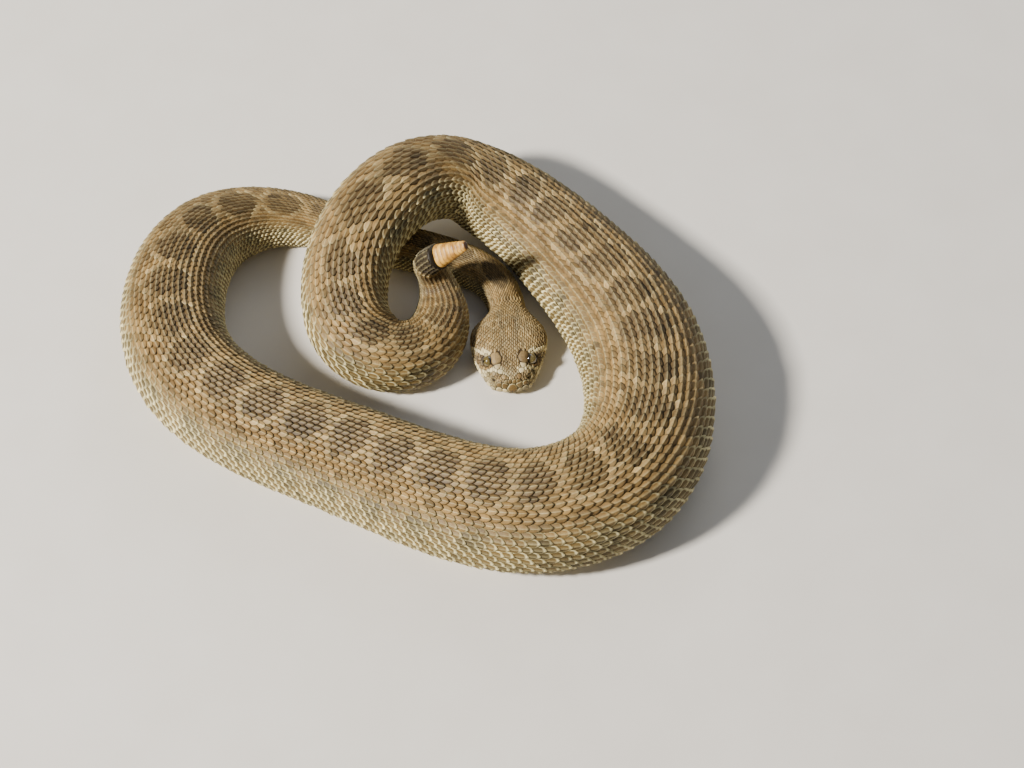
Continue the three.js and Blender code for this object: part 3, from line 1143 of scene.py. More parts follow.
@dataclass
class BodyScales:
    """Keeled scales in lengthwise rows, each row half a scale ahead of the next."""

    random: np.random.Generator
    overlap: float = 1.5
    half_width: float = 0.67
    shift_spread: float = 0.03
    size_spread: float = 0.04
    depth_spread: float = 0.07
    end_gap: float = 0.6
    overhang: float = 0.8
    pieces: tuple[tuple[float, float], ...] = (
        (50, 190), (190, 340), (340, 500), (500, 660), (660, 830), (830, 1036))

    def build(self) -> list[bpy.types.Object]:
        """Lays the body's scales.

        Returns:
            The pieces, from the neck to the tail.
        """
        root, turn, spacing, pitch = ROWS.lattice(HEAD_END, LINE.length - self.end_gap)
        count = len(root)
        place = root + self.random.normal(0, self.shift_spread, count) * pitch
        stretch = SURFACE.sample(SURFACE.stretch, root, turn)
        length = pitch * self.overlap * stretch ** -0.5
        length = length * (1 + self.random.normal(0, self.size_spread, count))
        length = np.minimum(length, LINE.length + self.overhang - place)
        half_width = SURFACE.girth(root) * spacing * self.half_width
        half_width = half_width * (1 + self.random.normal(0, self.size_spread, count))
        turn = turn + self.random.normal(0, self.shift_spread, count) * spacing
        depth = SURFACE.coat_depth(root) * (1 + self.random.normal(0, self.depth_spread, count))
        done = []
        for number, (start, end) in enumerate(self.pieces, start=1):
            mesh = PatchMesh(f"back_scales_{number}", start - MAP_MARGIN, end + MAP_MARGIN)
            inside = (root >= start) & (root < end)
            columns = (place, turn, length, half_width, depth, pitch, spacing)
            *measures, cell_length, cell_width = (column[inside] for column in columns)
            layer = CoatLayer(mesh, self.random)
            layer.lay(ScaleForm(), *measures, (cell_length, cell_width))
            done.append(mesh.build())
        return done


@dataclass
class BellyPlates:
    """Wide plates across the belly, one to each step of the rows above."""

    random: np.random.Generator
    start: float = 46.0
    overlap: float = 1.3
    depth: float = 0.75
    reach: float = 0.508
    end_gap: float = 1.0

    def build(self) -> bpy.types.Object:
        """Lays the belly plates from the throat to the end of the tail.

        Returns:
            All of them in one piece.
        """
        roots = ROWS.roots(self.start, LINE.length - self.end_gap)[:-1]
        pitch = ROWS.pitch(roots)
        half_turn = self.reach - ROWS.half_turn(roots)
        half_width = SURFACE.girth(roots) * half_turn
        depth = SURFACE.coat_depth(roots) * self.depth
        middle = np.full(len(roots), 0.5)
        mesh = PatchMesh("belly_plates", self.start - MAP_MARGIN, LINE.length + MAP_MARGIN, 0.0)
        layer = CoatLayer(mesh, self.random)
        layer.lay(BellyForm(), roots, middle, pitch * self.overlap, half_width, depth,
                  (pitch, half_turn))
        return mesh.build()


class Cover(Enum):
    """What lies on a cell of the head."""

    SCALE = 0
    SHIELD = 1
    BARE = 2


@dataclass(frozen=True)
class CellForm:
    """A cell of the head: a dome for a shield, and a dome with a ramp and a keel for a scale."""

    rings: tuple[float, ...] = (0.0, 0.42, 0.76, 0.95, 1.0)
    heights: tuple[float, ...] = (1.0, 0.96, 0.82, 0.5, -0.6)
    tip: float = 0.3
    base: float = 0.3
    dome: float = 0.32
    ramp: float = 0.2
    keel: float = 0.26
    keel_width: float = 0.25


@dataclass
class Mosaic:
    """Cells of the head's skin, each reaching part of the way to its neighbours."""

    mesh: PatchMesh
    random: np.random.Generator
    form: CellForm = CellForm()
    angles: int = 14
    neighbours: int = 20
    reach: float = 58.0
    gap: float = 0.06
    rounding: float = 18.0
    least_lean: float = 0.12
    free_share: float = 0.45
    backward_lean: float = 0.35
    depth_spread: float = 0.1
    map_share: float = 0.8
    specks: tuple[tuple[str, float], ...] = (("patch", 0.45), ("stripe", 0.16))
    seeds: list[Array] = field(default_factory=list)

    def __post_init__(self) -> None:
        """Keeps the head's part of the grid and a search tree over its faces."""
        seen = SURFACE.stations < self.reach
        rows, columns = int(seen.sum()), SURFACE.turns + 1
        self.stations = np.repeat(SURFACE.stations[seen], columns)
        self.turns = np.tile(np.linspace(0.0, 1.0, columns), rows)
        across, height = SURFACE.across[seen].ravel(), SURFACE.height[seen].ravel()
        self.nodes = np.stack([np.maximum(self.stations, 0.0), across, height], axis=-1)
        points = ((SURFACE.points[seen] + SHIFT) * MM).reshape(-1, 3)
        k, j = np.meshgrid(np.arange(rows - 1), np.arange(columns - 1), indexing="ij")
        first = (k * columns + j).ravel()
        quads = np.stack([first, first + 1, first + columns + 1, first + columns], axis=1)
        self.tree = BVHTree.FromPolygons(points.tolist(), quads.tolist())

    def add(self, cover: Cover, spots: Iterable[tuple[float, ...]]) -> None:
        """Adds seeds, on both sides unless they lie in the middle.

        Args:
            cover: What lies on their cells.
            spots: Distance, side and height of each, half its length and half its width.
        """
        for distance, side, height, half_long, half_wide in spots:
            for sign in ((1, -1) if side > 0.01 else (1,)):
                apart = self.nodes - (distance, sign * side, height)
                near = int((apart ** 2).sum(axis=-1).argmin())
                place = self.stations[near], self.turns[near]
                self.seeds.append(np.array([*place, half_long, half_wide, 0.0, cover.value]))

    def add_rows(self, distance: Array, turn: Array, half_long: Array, half_wide: Array,
                 aim: Array) -> None:
        """Adds seeds of scales where no earlier cell lies.

        Args:
            distance: Distances from the snout.
            turn: Turns from the middle of the back.
            half_long: Half of each scale's length.
            half_wide: Half of each scale's width.
            aim: Angle by which each one is swung to its side, in radians.
        """
        placed = np.array(self.seeds)
        points, along, aside, _ = self.frames(placed[:, 0], placed[:, 1], placed[:, 4])
        offset = self.frames(distance, turn, aim)[0][:, None] - points[None]
        angle = np.arctan2((offset * aside).sum(axis=-1), (offset * along).sum(axis=-1))
        oval = self.radius(placed[:, 2], placed[:, 3], angle)
        room = oval + self.free_share * half_wide[:, None]
        free = (np.linalg.norm(offset, axis=-1) > room).all(axis=1)
        cover = np.full(len(distance), float(Cover.SCALE.value))
        rows = np.stack([distance, turn, half_long, half_wide, aim, cover], axis=-1)
        self.seeds.extend(rows[free])

    def frames(self, distance: Array, turn: Array,
               aim: Array) -> tuple[Array, Array, Array, Array]:
        """Finds the seeds' places and directions on the skin.

        Args:
            distance: Distances from the snout.
            turn: Turns from the middle of the back.
            aim: Angle by which each one is swung to its side, in radians.

        Returns:
            The places in millimetres and the lengthwise, sideways and outward directions.
        """
        points = SURFACE.place(distance, turn, 0.0 * distance) / MM
        outward = SURFACE.place(distance, turn, 0.0 * distance + 1.0) / MM - points
        outward /= np.linalg.norm(outward, axis=-1, keepdims=True)
        _, back, _, up = LINE.frame(np.maximum(distance, 0.0))
        along = back + self.backward_lean * up
        along = along - (along * outward).sum(axis=-1, keepdims=True) * outward
        along /= np.linalg.norm(along, axis=-1, keepdims=True)
        aside = np.cross(along, outward)
        turned = along * np.cos(aim)[:, None] + aside * np.sin(aim)[:, None]
        return points, turned, np.cross(turned, outward), outward

    @staticmethod
    def radius(half_long: Array, half_wide: Array, angle: Array) -> Array:
        """Distance from an oval's middle to its edge at an angle."""
        return 1 / np.sqrt((np.cos(angle) / half_long) ** 2 + (np.sin(angle) / half_wide) ** 2)

    def outlines(self, points: Array, along: Array, aside: Array, half_long: Array,
                 half_wide: Array) -> Array:
        """Works out the cells' edges.

        Args:
            points: Places of the seeds in millimetres.
            along: Lengthwise directions.
            aside: Sideways directions.
            half_long: Half of each cell's length.
            half_wide: Half of each cell's width.

        Returns:
            The distance from each seed to its cell's edge, for each angle.
        """
        square = ((points[:, None] - points[None]) ** 2).sum(axis=-1)
        np.fill_diagonal(square, np.inf)
        near = np.argpartition(square, self.neighbours, axis=1)[:, :self.neighbours]
        offset = points[near] - points[:, None]
        length = np.linalg.norm(offset, axis=-1)
        angle = np.arctan2((offset * aside[:, None]).sum(axis=-1),
                           (offset * along[:, None]).sum(axis=-1))
        back = np.arctan2(-(offset * aside[near]).sum(axis=-1),
                          -(offset * along[near]).sum(axis=-1))
        own = self.radius(half_long[:, None], half_wide[:, None], angle)
        other = self.radius(half_long[near], half_wide[near], back)
        edge = length * own / (own + other)
        theta = np.linspace(0, 2 * math.pi, self.angles + 1)
        lean = np.cos(theta[None, None] - angle[..., None])
        onward = edge[..., None] / np.maximum(lean, self.least_lean)
        reach = np.where(lean > self.least_lean, onward, 1e3)
        limit = 1.8 * self.radius(half_long[:, None], half_wide[:, None], theta[None])
        nearest = (reach ** -self.rounding).sum(axis=1) + limit ** -self.rounding
        return nearest ** (-1 / self.rounding) - self.gap

    def lay(self) -> None:
        """Draws every cell that isn't bare and adds it to the mesh."""
        seeds = np.array(self.seeds)
        points, along, aside, outward = self.frames(seeds[:, 0], seeds[:, 1], seeds[:, 4])
        edge = self.outlines(points, along, aside, seeds[:, 2], seeds[:, 3])
        drawn = seeds[:, 5] != Cover.BARE.value
        seeds, points, along, aside, outward, edge = (
            table[drawn] for table in (seeds, points, along, aside, outward, edge))
        distance, turn, half_long, half_wide = seeds[:, :4].T
        keeled = (seeds[:, 5] == Cover.SCALE.value)[:, None, None]
        form, ring = self.form, np.array(self.form.rings)
        theta = np.linspace(0, 2 * math.pi, self.angles + 1)
        tip = 1 + form.tip * keeled * np.maximum(np.cos(theta), 0.0)[None, None] ** 4
        spoke = edge[:, None] * ring[None, :, None]
        forward = spoke * np.cos(theta)[None, None] * tip
        sideways = spoke * np.sin(theta)[None, None]
        ramp = np.clip(forward / half_long[:, None, None], -1, 1.2)
        keel_width = form.keel_width * half_wide[:, None, None]
        ridge = np.exp(-(sideways / keel_width) ** 2) * keeled
        dome = np.array(form.heights)[None, :, None]
        scale = form.base + form.dome * dome + form.ramp * ramp + form.keel * ridge
        scale[:, -1] = np.minimum(scale[:, -1] * 0.2, -0.2)
        height = np.where(keeled, scale, dome)
        depth = read_table(HEAD_DEPTHS, distance)
        depth *= self.random.normal(1.0, self.depth_spread, len(distance))
        depth *= 1 + 0.06 * np.minimum(half_long, 3)
        flat = (points[:, None, None] + along[:, None, None] * forward[..., None]
                + aside[:, None, None] * sideways[..., None]) * MM
        found = [self.tree.find_nearest(Vector(point))[0] for point in flat.reshape(-1, 3).tolist()]
        rise = (height * depth[:, None, None])[..., None]
        placed = np.array(found).reshape(flat.shape) + (outward[:, None, None] * rise) * MM
        values = {key: mask[:, None] for key, mask in MARKINGS.masks(distance, turn).items()}
        rim = np.broadcast_to(ring[None, :, None] ** 6, height.shape)
        values["rim"] = rim.reshape(len(seeds), -1)
        values["keel"] = ridge.reshape(len(seeds), -1)
        values["tone"] = self.random.normal(0.0, 1.0, len(seeds))[:, None]
        fade = (1 - ease(distance, 40, 56))[:, None]
        for key, share in self.specks:
            speck = share * self.random.uniform(0.0, 1.0, len(seeds))[:, None] ** 2
            values[key] = values[key] + (1 - values[key]) * speck * fade
        span = self.mesh.end - self.mesh.start
        onward = self.map_share * forward / tip
        cell_u = (distance[:, None, None] - self.mesh.start + onward) / span
        girth = SURFACE.girth(np.maximum(distance, 1.0))[:, None, None]
        aside_turn = self.map_share * sideways / girth
        cell_v = np.mod(turn + self.mesh.seam, 1.0)[:, None, None] + aside_turn
        cells = np.stack([cell_u, cell_v], axis=-1).reshape(len(seeds), -1, 2)
        placed = placed.reshape(len(seeds), -1, 3)
        self.mesh.add(placed, len(ring), len(theta), cells, values)


@dataclass(frozen=True)
class LipRow:
    """One row of cells along the mouth's line."""

    start: float
    step: float
    rise: float
    half_high: float
    cover: Cover


@dataclass
class HeadScales:
    """Keeled scales on the crown, shields over the eyes and nose, and the plates of the lips.

    A shield or hole has its distance, side and height, then half its length and half its width.
    """

    random: np.random.Generator
    lip_end: float = 37.0
    lips: tuple[LipRow, ...] = (
        LipRow(2.6, 2.45, 1.65, 1.35, Cover.SHIELD),
        LipRow(4.3, 2.45, -1.35, 1.1, Cover.SHIELD),
        LipRow(1.2, 1.1, 0.12, 0.28, Cover.BARE),
    )
    shields: tuple[tuple[float, ...], ...] = (
        (13.7, 7.1, 14.4, 4.2, 3.4), (0.0, 0.0, 7.6, 3.2, 2.2), (0.0, 3.6, 9.4, 1.7, 1.2),
        (0.6, 1.1, 12.3, 1.0, 1.05), (0.9, 3.2, 12.1, 1.0, 1.0), (3.6, 3.9, 12.7, 1.5, 1.1),
        (6.6, 5.2, 13.3, 1.6, 1.2), (9.7, 6.6, 13.7, 1.6, 1.2), (6.9, 8.3, 11.2, 1.2, 1.1),
        (1.8, 6.3, 9.4, 1.2, 1.2), (9.3, 9.6, 11.4, 1.2, 0.9), (11.4, 11.2, 10.2, 1.2, 0.8),
        (0.0, 3.5, 5.6, 1.5, 1.3), (0.3, 6.2, 5.6, 1.5, 1.2), (2.0, 0.0, 2.7, 1.2, 1.5),
        (2.1, 2.9, 2.75, 1.2, 1.3), (2.4, 5.6, 2.9, 1.2, 1.3))
    holes: tuple[tuple[float, ...], ...] = (
        (14.3, 12.2, 11.7, 2.4, 2.35), (8.4, 10.2, 8.9, 1.1, 0.9), (4.0, 8.6, 10.1, 0.8, 0.75))
    ring_plates: int = 13
    ring_radius: tuple[float, float] = (3.25, 3.05)
    ring_top: float = 13.6
    ring_size: float = 0.75
    crown_start: float = 1.2
    crown_end: float = 50.4
    spread: float = 0.08
    swing: float = 0.12
    throat_start: float = 4.7
    throat_end: float = 46.0
    throat_pitch: float = 2.6
    throat_columns: int = 13
    throat_half_turn: float = 0.115
    throat_size: float = 1.25
    throat_turn: float = 0.0088
    throat_depth: float = 0.25
    map_range: tuple[float, float] = (-14.0, 62.0)

    def build(self) -> bpy.types.Object:
        """Lays every scale of the head.

        Returns:
            All of them in one piece.
        """
        mesh = PatchMesh("head_scales", *self.map_range)
        mosaic = Mosaic(mesh, self.random)
        mosaic.add(Cover.BARE, self.holes)
        mosaic.add(Cover.SHIELD, self.shields)
        self.add_lips(mosaic)
        self.add_eye_rings(mosaic)
        self.add_crown(mosaic)
        mosaic.lay()
        self.lay_throat(CoatLayer(mesh, self.random))
        return mesh.build()

    def add_lips(self, mosaic: Mosaic) -> None:
        """Adds plates along both lips, with the mouth's line left bare between them.

        Args:
            mosaic: The cells that they are added to.
        """
        for row in self.lips:
            middle = np.arange(row.start, self.lip_end, row.step)
            height = mouth_height(middle) + row.rise
            across, _ = SURFACE.section(middle, turn_at_height(middle, height))
            spots = zip(middle, np.abs(across), height)
            mosaic.add(row.cover, [(*spot, row.step * 0.5, row.half_high) for spot in spots])
        bare = self.lips[-1]
        height = float(mouth_height(0.0)[0]) + bare.rise
        sides = np.arange(0.0, 7.0, bare.step)
        mosaic.add(bare.cover, [(0.0, side, height, bare.half_high, 0.6) for side in sides])

    def add_eye_rings(self, mosaic: Mosaic) -> None:
        """Adds small plates round each eye, below its brow.

        Args:
            mosaic: The cells that they are added to.
        """
        angle = np.linspace(0, 2 * math.pi, self.ring_plates + 1)[:-1]
        distance = EYE.distance + self.ring_radius[0] * np.cos(angle)
        height = EYE.height + self.ring_radius[1] * np.sin(angle)
        low = height < self.ring_top
        distance, height = distance[low], height[low]
        across, _ = SURFACE.section(distance, turn_at_height(distance, height))
        size = (self.ring_size, self.ring_size)
        spots = zip(distance, np.abs(across), height)
        mosaic.add(Cover.SHIELD, [(*spot, *size) for spot in spots])

    def add_crown(self, mosaic: Mosaic) -> None:
        """Adds rows of small keeled scales over all that is still free.

        Args:
            mosaic: The cells that they are added to.
        """
        root, turn, spacing, pitch = ROWS.lattice(self.crown_start, HEAD_END)
        middle = root + 0.5 * pitch
        _, height = SURFACE.section(middle, turn)
        kept = (height > mouth_height(middle) + 1.0) | (middle > self.lip_end)
        kept &= middle < self.crown_end
        middle, turn, spacing, pitch = (column[kept] for column in (middle, turn, spacing, pitch))
        count = len(middle)
        wild = 1 - 0.6 * ease(middle, 30, 50)
        wide = SURFACE.girth(middle) * spacing * 0.5
        fan = np.clip(turn / 0.12, -1, 1) * 0.3
        fan = fan * ease(middle, 12, 24) * (1 - ease(middle, 34, 44))
        middle = middle + self.random.normal(0, self.spread, count) * pitch * wild
        turn = turn + self.random.normal(0, self.spread, count) * spacing * wild
        aim = fan + self.random.normal(0, self.swing, count) * wild
        mosaic.add_rows(middle, turn, pitch * 0.5, wide, aim)

    def lay_throat(self, layer: CoatLayer) -> None:
        """Lays smooth scales under the jaw, in slanting rows.

        Args:
            layer: The layer that lays them.
        """
        pitch, columns = self.throat_pitch, self.throat_columns
        rows = np.arange(self.throat_start, self.throat_end, pitch)
        turns = np.linspace(-self.throat_half_turn, self.throat_half_turn, columns)
        distance, turn = np.meshgrid(rows, turns, indexing="ij")
        distance = distance + pitch / 2 * (np.arange(columns) % 2)[None]
        distance, turn = distance.ravel(), turn.ravel() + 0.5
        size = np.full(len(turn), self.throat_size)
        wide = SURFACE.girth(distance) * self.throat_turn
        cell = (2 * size, np.full(len(turn), 0.018))
        layer.lay(PlateForm(), distance, turn, size, wide, size * self.throat_depth, cell)


def tint(code: str) -> Colour:
    """Turns a hexadecimal code into a linear colour.

    Args:
        code: The code, with its hash.

    Returns:
        Red, green, blue and alpha.
    """
    parts = [int(code[i:i + 2], 16) / 255 for i in (1, 3, 5)]
    red, green, blue = (part / 12.92 if part <= 0.04045 else ((part + 0.055) / 1.055) ** 2.4
                        for part in parts)
    return (red, green, blue, 1.0)


class Blend(Enum):
    """Ways of mixing two colours."""

    MIX = "MIX"
    MULTIPLY = "MULTIPLY"


class Value:
    """A number or colour in a shader, with arithmetic that adds its own nodes."""

    def __init__(self, maker: "NodeMaker", socket: Any) -> None:
        """Keeps the socket and the maker of further nodes."""
        self.maker = maker
        self.socket = socket

    def math(self, operation: str, *others: Any) -> "Value":
        """Result of a Math node on this value and others."""
        inputs = dict(enumerate((self, *others)))
        return self.maker.node("ShaderNodeMath", {"operation": operation}, inputs)

    def __add__(self, other: Any) -> "Value":
        """Sum."""
        return self.math("ADD", other)

    def __radd__(self, other: Any) -> "Value":
        """Sum, reflected."""
        return self.math("ADD", other)

    def __sub__(self, other: Any) -> "Value":
        """Difference."""
        return self.math("SUBTRACT", other)

    def __rsub__(self, other: Any) -> "Value":
        """Difference, reflected."""
        return self.maker.node("ShaderNodeMath", {"operation": "SUBTRACT"}, {0: other, 1: self})

    def __mul__(self, other: Any) -> "Value":
        """Product."""
        return self.math("MULTIPLY", other)

    def __rmul__(self, other: Any) -> "Value":
        """Product, reflected."""
        return self.math("MULTIPLY", other)

    def step(self, low: float, high: float) -> "Value":
        """Smooth rise from 0 at low to 1 at high."""
        inputs = {"Value": self, "From Min": low, "From Max": high}
        return self.maker.node("ShaderNodeMapRange", {"interpolation_type": "SMOOTHSTEP"}, inputs)


class NodeMaker:
    """Builds one material's nodes."""

    def __init__(self, name: str) -> None:
        """Starts an empty material.

        Args:
            name: The material's name.
        """
        self.material = bpy.data.materials.new(name)
        self.material.use_nodes = True
        self.tree = self.material.node_tree
        self.tree.nodes.clear()

    def node(self, kind: str, settings: dict[str, Any] | None = None,
             inputs: dict[Any, Any] | None = None, output: int | str = 0) -> Value:
        """Adds a node.

        Args:
            kind: The node's type.
            settings: Properties, set first; "stops" fills a ramp.
            inputs: Values or links by socket name or number.
            output: The output to return.

        Returns:
            The output as a value.
        """
        node = self.tree.nodes.new(kind)
        for key, setting in (settings or {}).items():
            if key == "stops":
                self.fill_ramp(node.color_ramp, setting)
            else:
                setattr(node, key, setting)
        for key, given in (inputs or {}).items():
            if isinstance(given, Value):
                self.tree.links.new(given.socket, node.inputs[key])
            else:
                node.inputs[key].default_value = given
        return Value(self, node.outputs[output] if node.outputs else node)

    @staticmethod
    def fill_ramp(ramp: Any, stops: list[tuple[float, Colour]]) -> None:
        """Sets a ramp's stops.

        Args:
            ramp: The ramp of a node.
            stops: Position and colour of each stop.
        """
        while len(ramp.elements) < len(stops):
            ramp.elements.new(1.0)
        for element, (position, colour) in zip(ramp.elements, stops):
            element.position = position
            element.color = colour

    def mask(self, name: str) -> Value:
        """A number that the mesh carries."""
        settings = {"attribute_type": "GEOMETRY", "attribute_name": name}
        return self.node("ShaderNodeAttribute", settings, output="Fac")

    def mix(self, share: Any, first: Any, second: Any, blend: Blend = Blend.MIX) -> Value:
        """Mix of two colours."""
        settings = {"data_type": "RGBA", "blend_type": blend.value}
        return self.node("ShaderNodeMix", settings, {0: share, 6: first, 7: second}, output=2)

    def noise(self, scale: float, detail: float) -> Value:
        """Cloudy noise over the object."""
        place = self.node("ShaderNodeTexCoord", output="Object")
        return self.node("ShaderNodeTexNoise",
                         inputs={"Vector": place, "Scale": scale, "Detail": detail})

    def bump(self, height: Value, distance: float, strength: float) -> Value:
        """Surface normal raised by a height."""
        inputs = {"Strength": strength, "Distance": distance, "Height": height}
        return self.node("ShaderNodeBump", inputs=inputs)

    def finish(self, settings: dict[str, Any]) -> bpy.types.Material:
        """Ends the material in one shader.

        Args:
            settings: Values or links of the shader's sockets.

        Returns:
            The material.
        """
        shader = self.node("ShaderNodeBsdfPrincipled", inputs=settings)
        self.node("ShaderNodeOutputMaterial", inputs={"Surface": shader})
        return self.material


@dataclass(frozen=True)
class HideFinish:
    """Colours of scales or of the skin between them, chosen by the same masks; the skin between
    them is mostly painted shade, near-black.
    """

    name: str
    # below 1, the rest of each colour is painted shade: the near-black of the gaps between scales
    depth: float = 1.0
    back: str = "#6e5530"
    back_pale: str = "#8a6e40"
    ashen: str = "#5c503a"
    flank: str = "#54431f"
    # cream rims of the flank scales; also the painted highlight on the keels
    flank_rim: str = "#dccf9c"
    blotch: str = "#483b26"
    # dark edge of the blotches; also the painted shade on the back scales' rims
    edge: str = "#2b2114"
    pale: str = "#a98f60"
    side: str = "#40381f"
    belly: str = "#dccfa6"
    band: str = "#4a3b28"
    charcoal: str = "#231e19"
    stripe: str = "#e0d2a4"
    patch: str = "#4a3d2e"
    # painted shade: near-black standing in for the shade that falls in the gaps between scales
    gap: str = "#150f08"

    def build(self) -> bpy.types.Material:
        """Lays the colours over each other, mask by mask, with painted shade on the back scales'
        rims and a painted highlight on their keels, then the dust and the relief.

        Returns:
            The material.
        """
        make = NodeMaker(self.name)
        cloud, fine = make.noise(90.0, 3.0), make.noise(1400.0, 3.0)
        tone, rim, keel = make.mask("tone"), make.mask("rim"), make.mask("keel")
        flank, belly, pale = make.mask("flank"), make.mask("belly"), make.mask("pale")
        back = 1 - belly
        ashen = (tone * 7.31).math("FRACT").step(0.5, 0.95)
        bright = rim.step(0.22, 0.7) * (flank * back * 0.85 + pale * 0.25)
        colour = make.mix(cloud.step(0.35, 0.65), tint(self.back), tint(self.back_pale))
        for share, code in (
                (ashen * 0.3, self.ashen),
                (flank * 0.9, self.flank),
                (make.mask("side") * 0.7, self.side),
                (pale * 0.38, self.pale),
                (make.mask("blotch") * 0.62, self.blotch),
                (make.mask("edge") * 0.66, self.edge),
                (make.mask("band") * 0.6, self.band),
                (make.mask("patch") * 0.75, self.patch),
                # painted shade: the back scales' rims darkened, for the shadow at their edges
                (rim.step(0.4, 0.9) * (1 - flank) * 0.6, self.edge),
                (bright, self.flank_rim),
                (belly, self.belly),
                (make.mask("stripe") * 0.9, self.stripe),
                (make.mask("charcoal") * 0.9, self.charcoal),
                # painted highlight: the keels of the back scales lightened towards cream
                (keel * back * 0.3, self.flank_rim)):
            colour = make.mix(share, colour, tint(code))
        dust = (tone * 0.07 + fine * 0.3 + 0.85).step(0.4, 1.6)
        stops = [(0.0, (0, 0, 0, 1)), (1.0, (1.9, 1.9, 1.9, 1))]
        shade = make.node("ShaderNodeValToRGB", {"stops": stops}, {0: dust})
        colour = make.mix(1.0, colour, shade, Blend.MULTIPLY)
        # painted shade: the skin between the scales mixed mostly to near-black, for the shade in
        # the gaps
        if self.depth < 1:
            colour = make.mix(1 - self.depth, colour, tint(self.gap))
        rough = fine * 0.2 + rim * 0.1 + 0.42
        relief = make.bump(fine + keel * 0.4, 0.00025, 0.6)
        return make.finish({"Base Color": colour, "Roughness": rough, "Normal": relief,
                            "Specular IOR Level": 0.25})


@dataclass(frozen=True)
class EyeFinish:
    """Bronze-green iris with fine veins and an upright slit."""

    iris: str = "#75663a"
    iris_dark: str = "#3a3320"
    pupil: str = "#040403"
    white: str = "#1b1812"

    def build(self) -> bpy.types.Material:
        """Draws the pupil on the iris and darkens all round it.

        Returns:
            The material.
        """
        make = NodeMaker("eye_glass")
        aside, upright, out = make.mask("aside"), make.mask("upright"), make.mask("out")
        veins = make.noise(4200.0, 4.0)
        iris = make.mix(veins.step(0.3, 0.7), tint(self.iris_dark), tint(self.iris))
        width = (1 - upright * upright).math("MAXIMUM", 0.0) * 0.2
        slit = (aside.math("ABSOLUTE") - width).step(0.04, -0.02)
        slit = slit * upright.math("ABSOLUTE").step(0.62, 0.5)
        colour = make.mix(slit, iris, tint(self.pupil))
        colour = make.mix(out.step(0.3, 0.0), colour, tint(self.white))
        return make.finish({"Base Color": colour, "Roughness": 0.08, "Coat Weight": 1.0,
                            "Coat Roughness": 0.03, "IOR": 1.42})


@dataclass(frozen=True)
class HornFinish:
    """Dry amber horn, streaked along its length, with painted shade darkening its grooves."""

    light: str = "#dba94e"
    dark: str = "#96682a"
    # painted shade: the colour in the grooves between the rattle's segments
    groove: str = "#3c2413"

    def build(self) -> bpy.types.Material:
        """Streaks the horn, paints shade into its grooves and scratches its surface.

        Returns:
            The material.
        """
        make = NodeMaker("rattle_horn")
        ring = make.mask("ring")
        cloud, fine = make.noise(260.0, 3.0), make.noise(1800.0, 3.0)
        colour = make.mix(cloud.step(0.3, 0.7), tint(self.dark), tint(self.light))
        # painted shade: the horn darkened where the segment narrows into its groove
        colour = make.mix(ring.step(0.55, 0.95), tint(self.groove), colour)
        colour = make.mix(fine.step(0.6, 0.8) * 0.35, colour, tint(self.light))
        return make.finish({"Base Color": colour, "Roughness": fine * 0.25 + 0.32,
                            "Normal": make.bump(fine, 0.0002, 0.5), "Subsurface Weight": 0.06,
                            "Subsurface Radius": (0.002, 0.001, 0.0005), "Subsurface Scale": 1.0})


@dataclass(frozen=True)
class FloorFinish:
    """Matt pale floor with a faint grain."""

    pale: str = "#d8d4cc"
    deep: str = "#cfcac1"

    def build(self) -> bpy.types.Material:
        """Mixes the two colours in a grain.

        Returns:
            The material.
        """
        make = NodeMaker("floor_matt")
        colour = make.mix(make.noise(30.0, 4.0), tint(self.pale), tint(self.deep))
        return make.finish({"Base Color": colour, "Roughness": 0.9})


class Side(Enum):
    """The animal's sides, with the sign of the across direction."""

    LEFT = -1
    RIGHT = 1


@dataclass
class Eye:
    """One eye: a ball with a slightly domed front over its iris."""

    side: Side
    place: EyePlace = EYE
    segments: int = 64
    rings: int = 40
    forward_look: float = 0.25
    upward_look: float = 0.12
    dome: float = 0.04
    dome_start: float = 0.7

    def build(self) -> bpy.types.Object:
        """Models the eye and marks its pupil's directions.

        Returns:
            The eye.
        """
        _, along, across, up = LINE.frame(self.place.distance)
        across = across * self.side.value
        middle = head_point(self.place.distance, self.side.value * self.place.across,
                            self.place.height)
        centre, radius = (middle + SHIFT) * MM, self.place.radius * MM
        bpy.ops.object.select_all(action="DESELECT")
        bpy.ops.mesh.primitive_uv_sphere_add(
            segments=self.segments, ring_count=self.rings, radius=radius, location=centre)
        eye = bpy.context.object
        eye.name = f"eyeball_{self.side.name.lower()}"
        bpy.ops.object.transform_apply(location=True, rotation=True, scale=True)
        bpy.ops.object.shade_smooth()
        look = Vector(across - along * self.forward_look + up * self.upward_look).normalized()
        high = (Vector(up) - look * Vector(up).dot(look)).normalized()
        flat = look.cross(high)
        for key, axis in (("aside", flat), ("upright", high), ("out", look)):
            attribute = eye.data.attributes.new(key, "FLOAT", "POINT")
            for number, vertex in enumerate(eye.data.vertices):
                attribute.data[number].value = (vertex.co - Vector(centre)).dot(axis) / radius
        for vertex in eye.data.vertices:
            offset = vertex.co - Vector(centre)
            bulge = max(0.0, offset.dot(look) / radius - self.dome_start) * self.dome
            vertex.co += offset * bulge
        return eye


# Outline of a segment of the rattle: level on the ball, advance along the rattle and radius.
SEGMENT_OUTLINE: tuple[Corner, ...] = (
    (-1.0, 0.02, 0.0), (-0.93, 0.03, 0.6), (-0.7, 0.1, 0.9), (-0.35, 0.2, 1.0), (0.0, 0.42, 0.99),
    (0.3, 0.68, 0.95), (0.62, 0.92, 0.84), (0.86, 1.12, 0.6), (1.0, 1.2, 0.0))


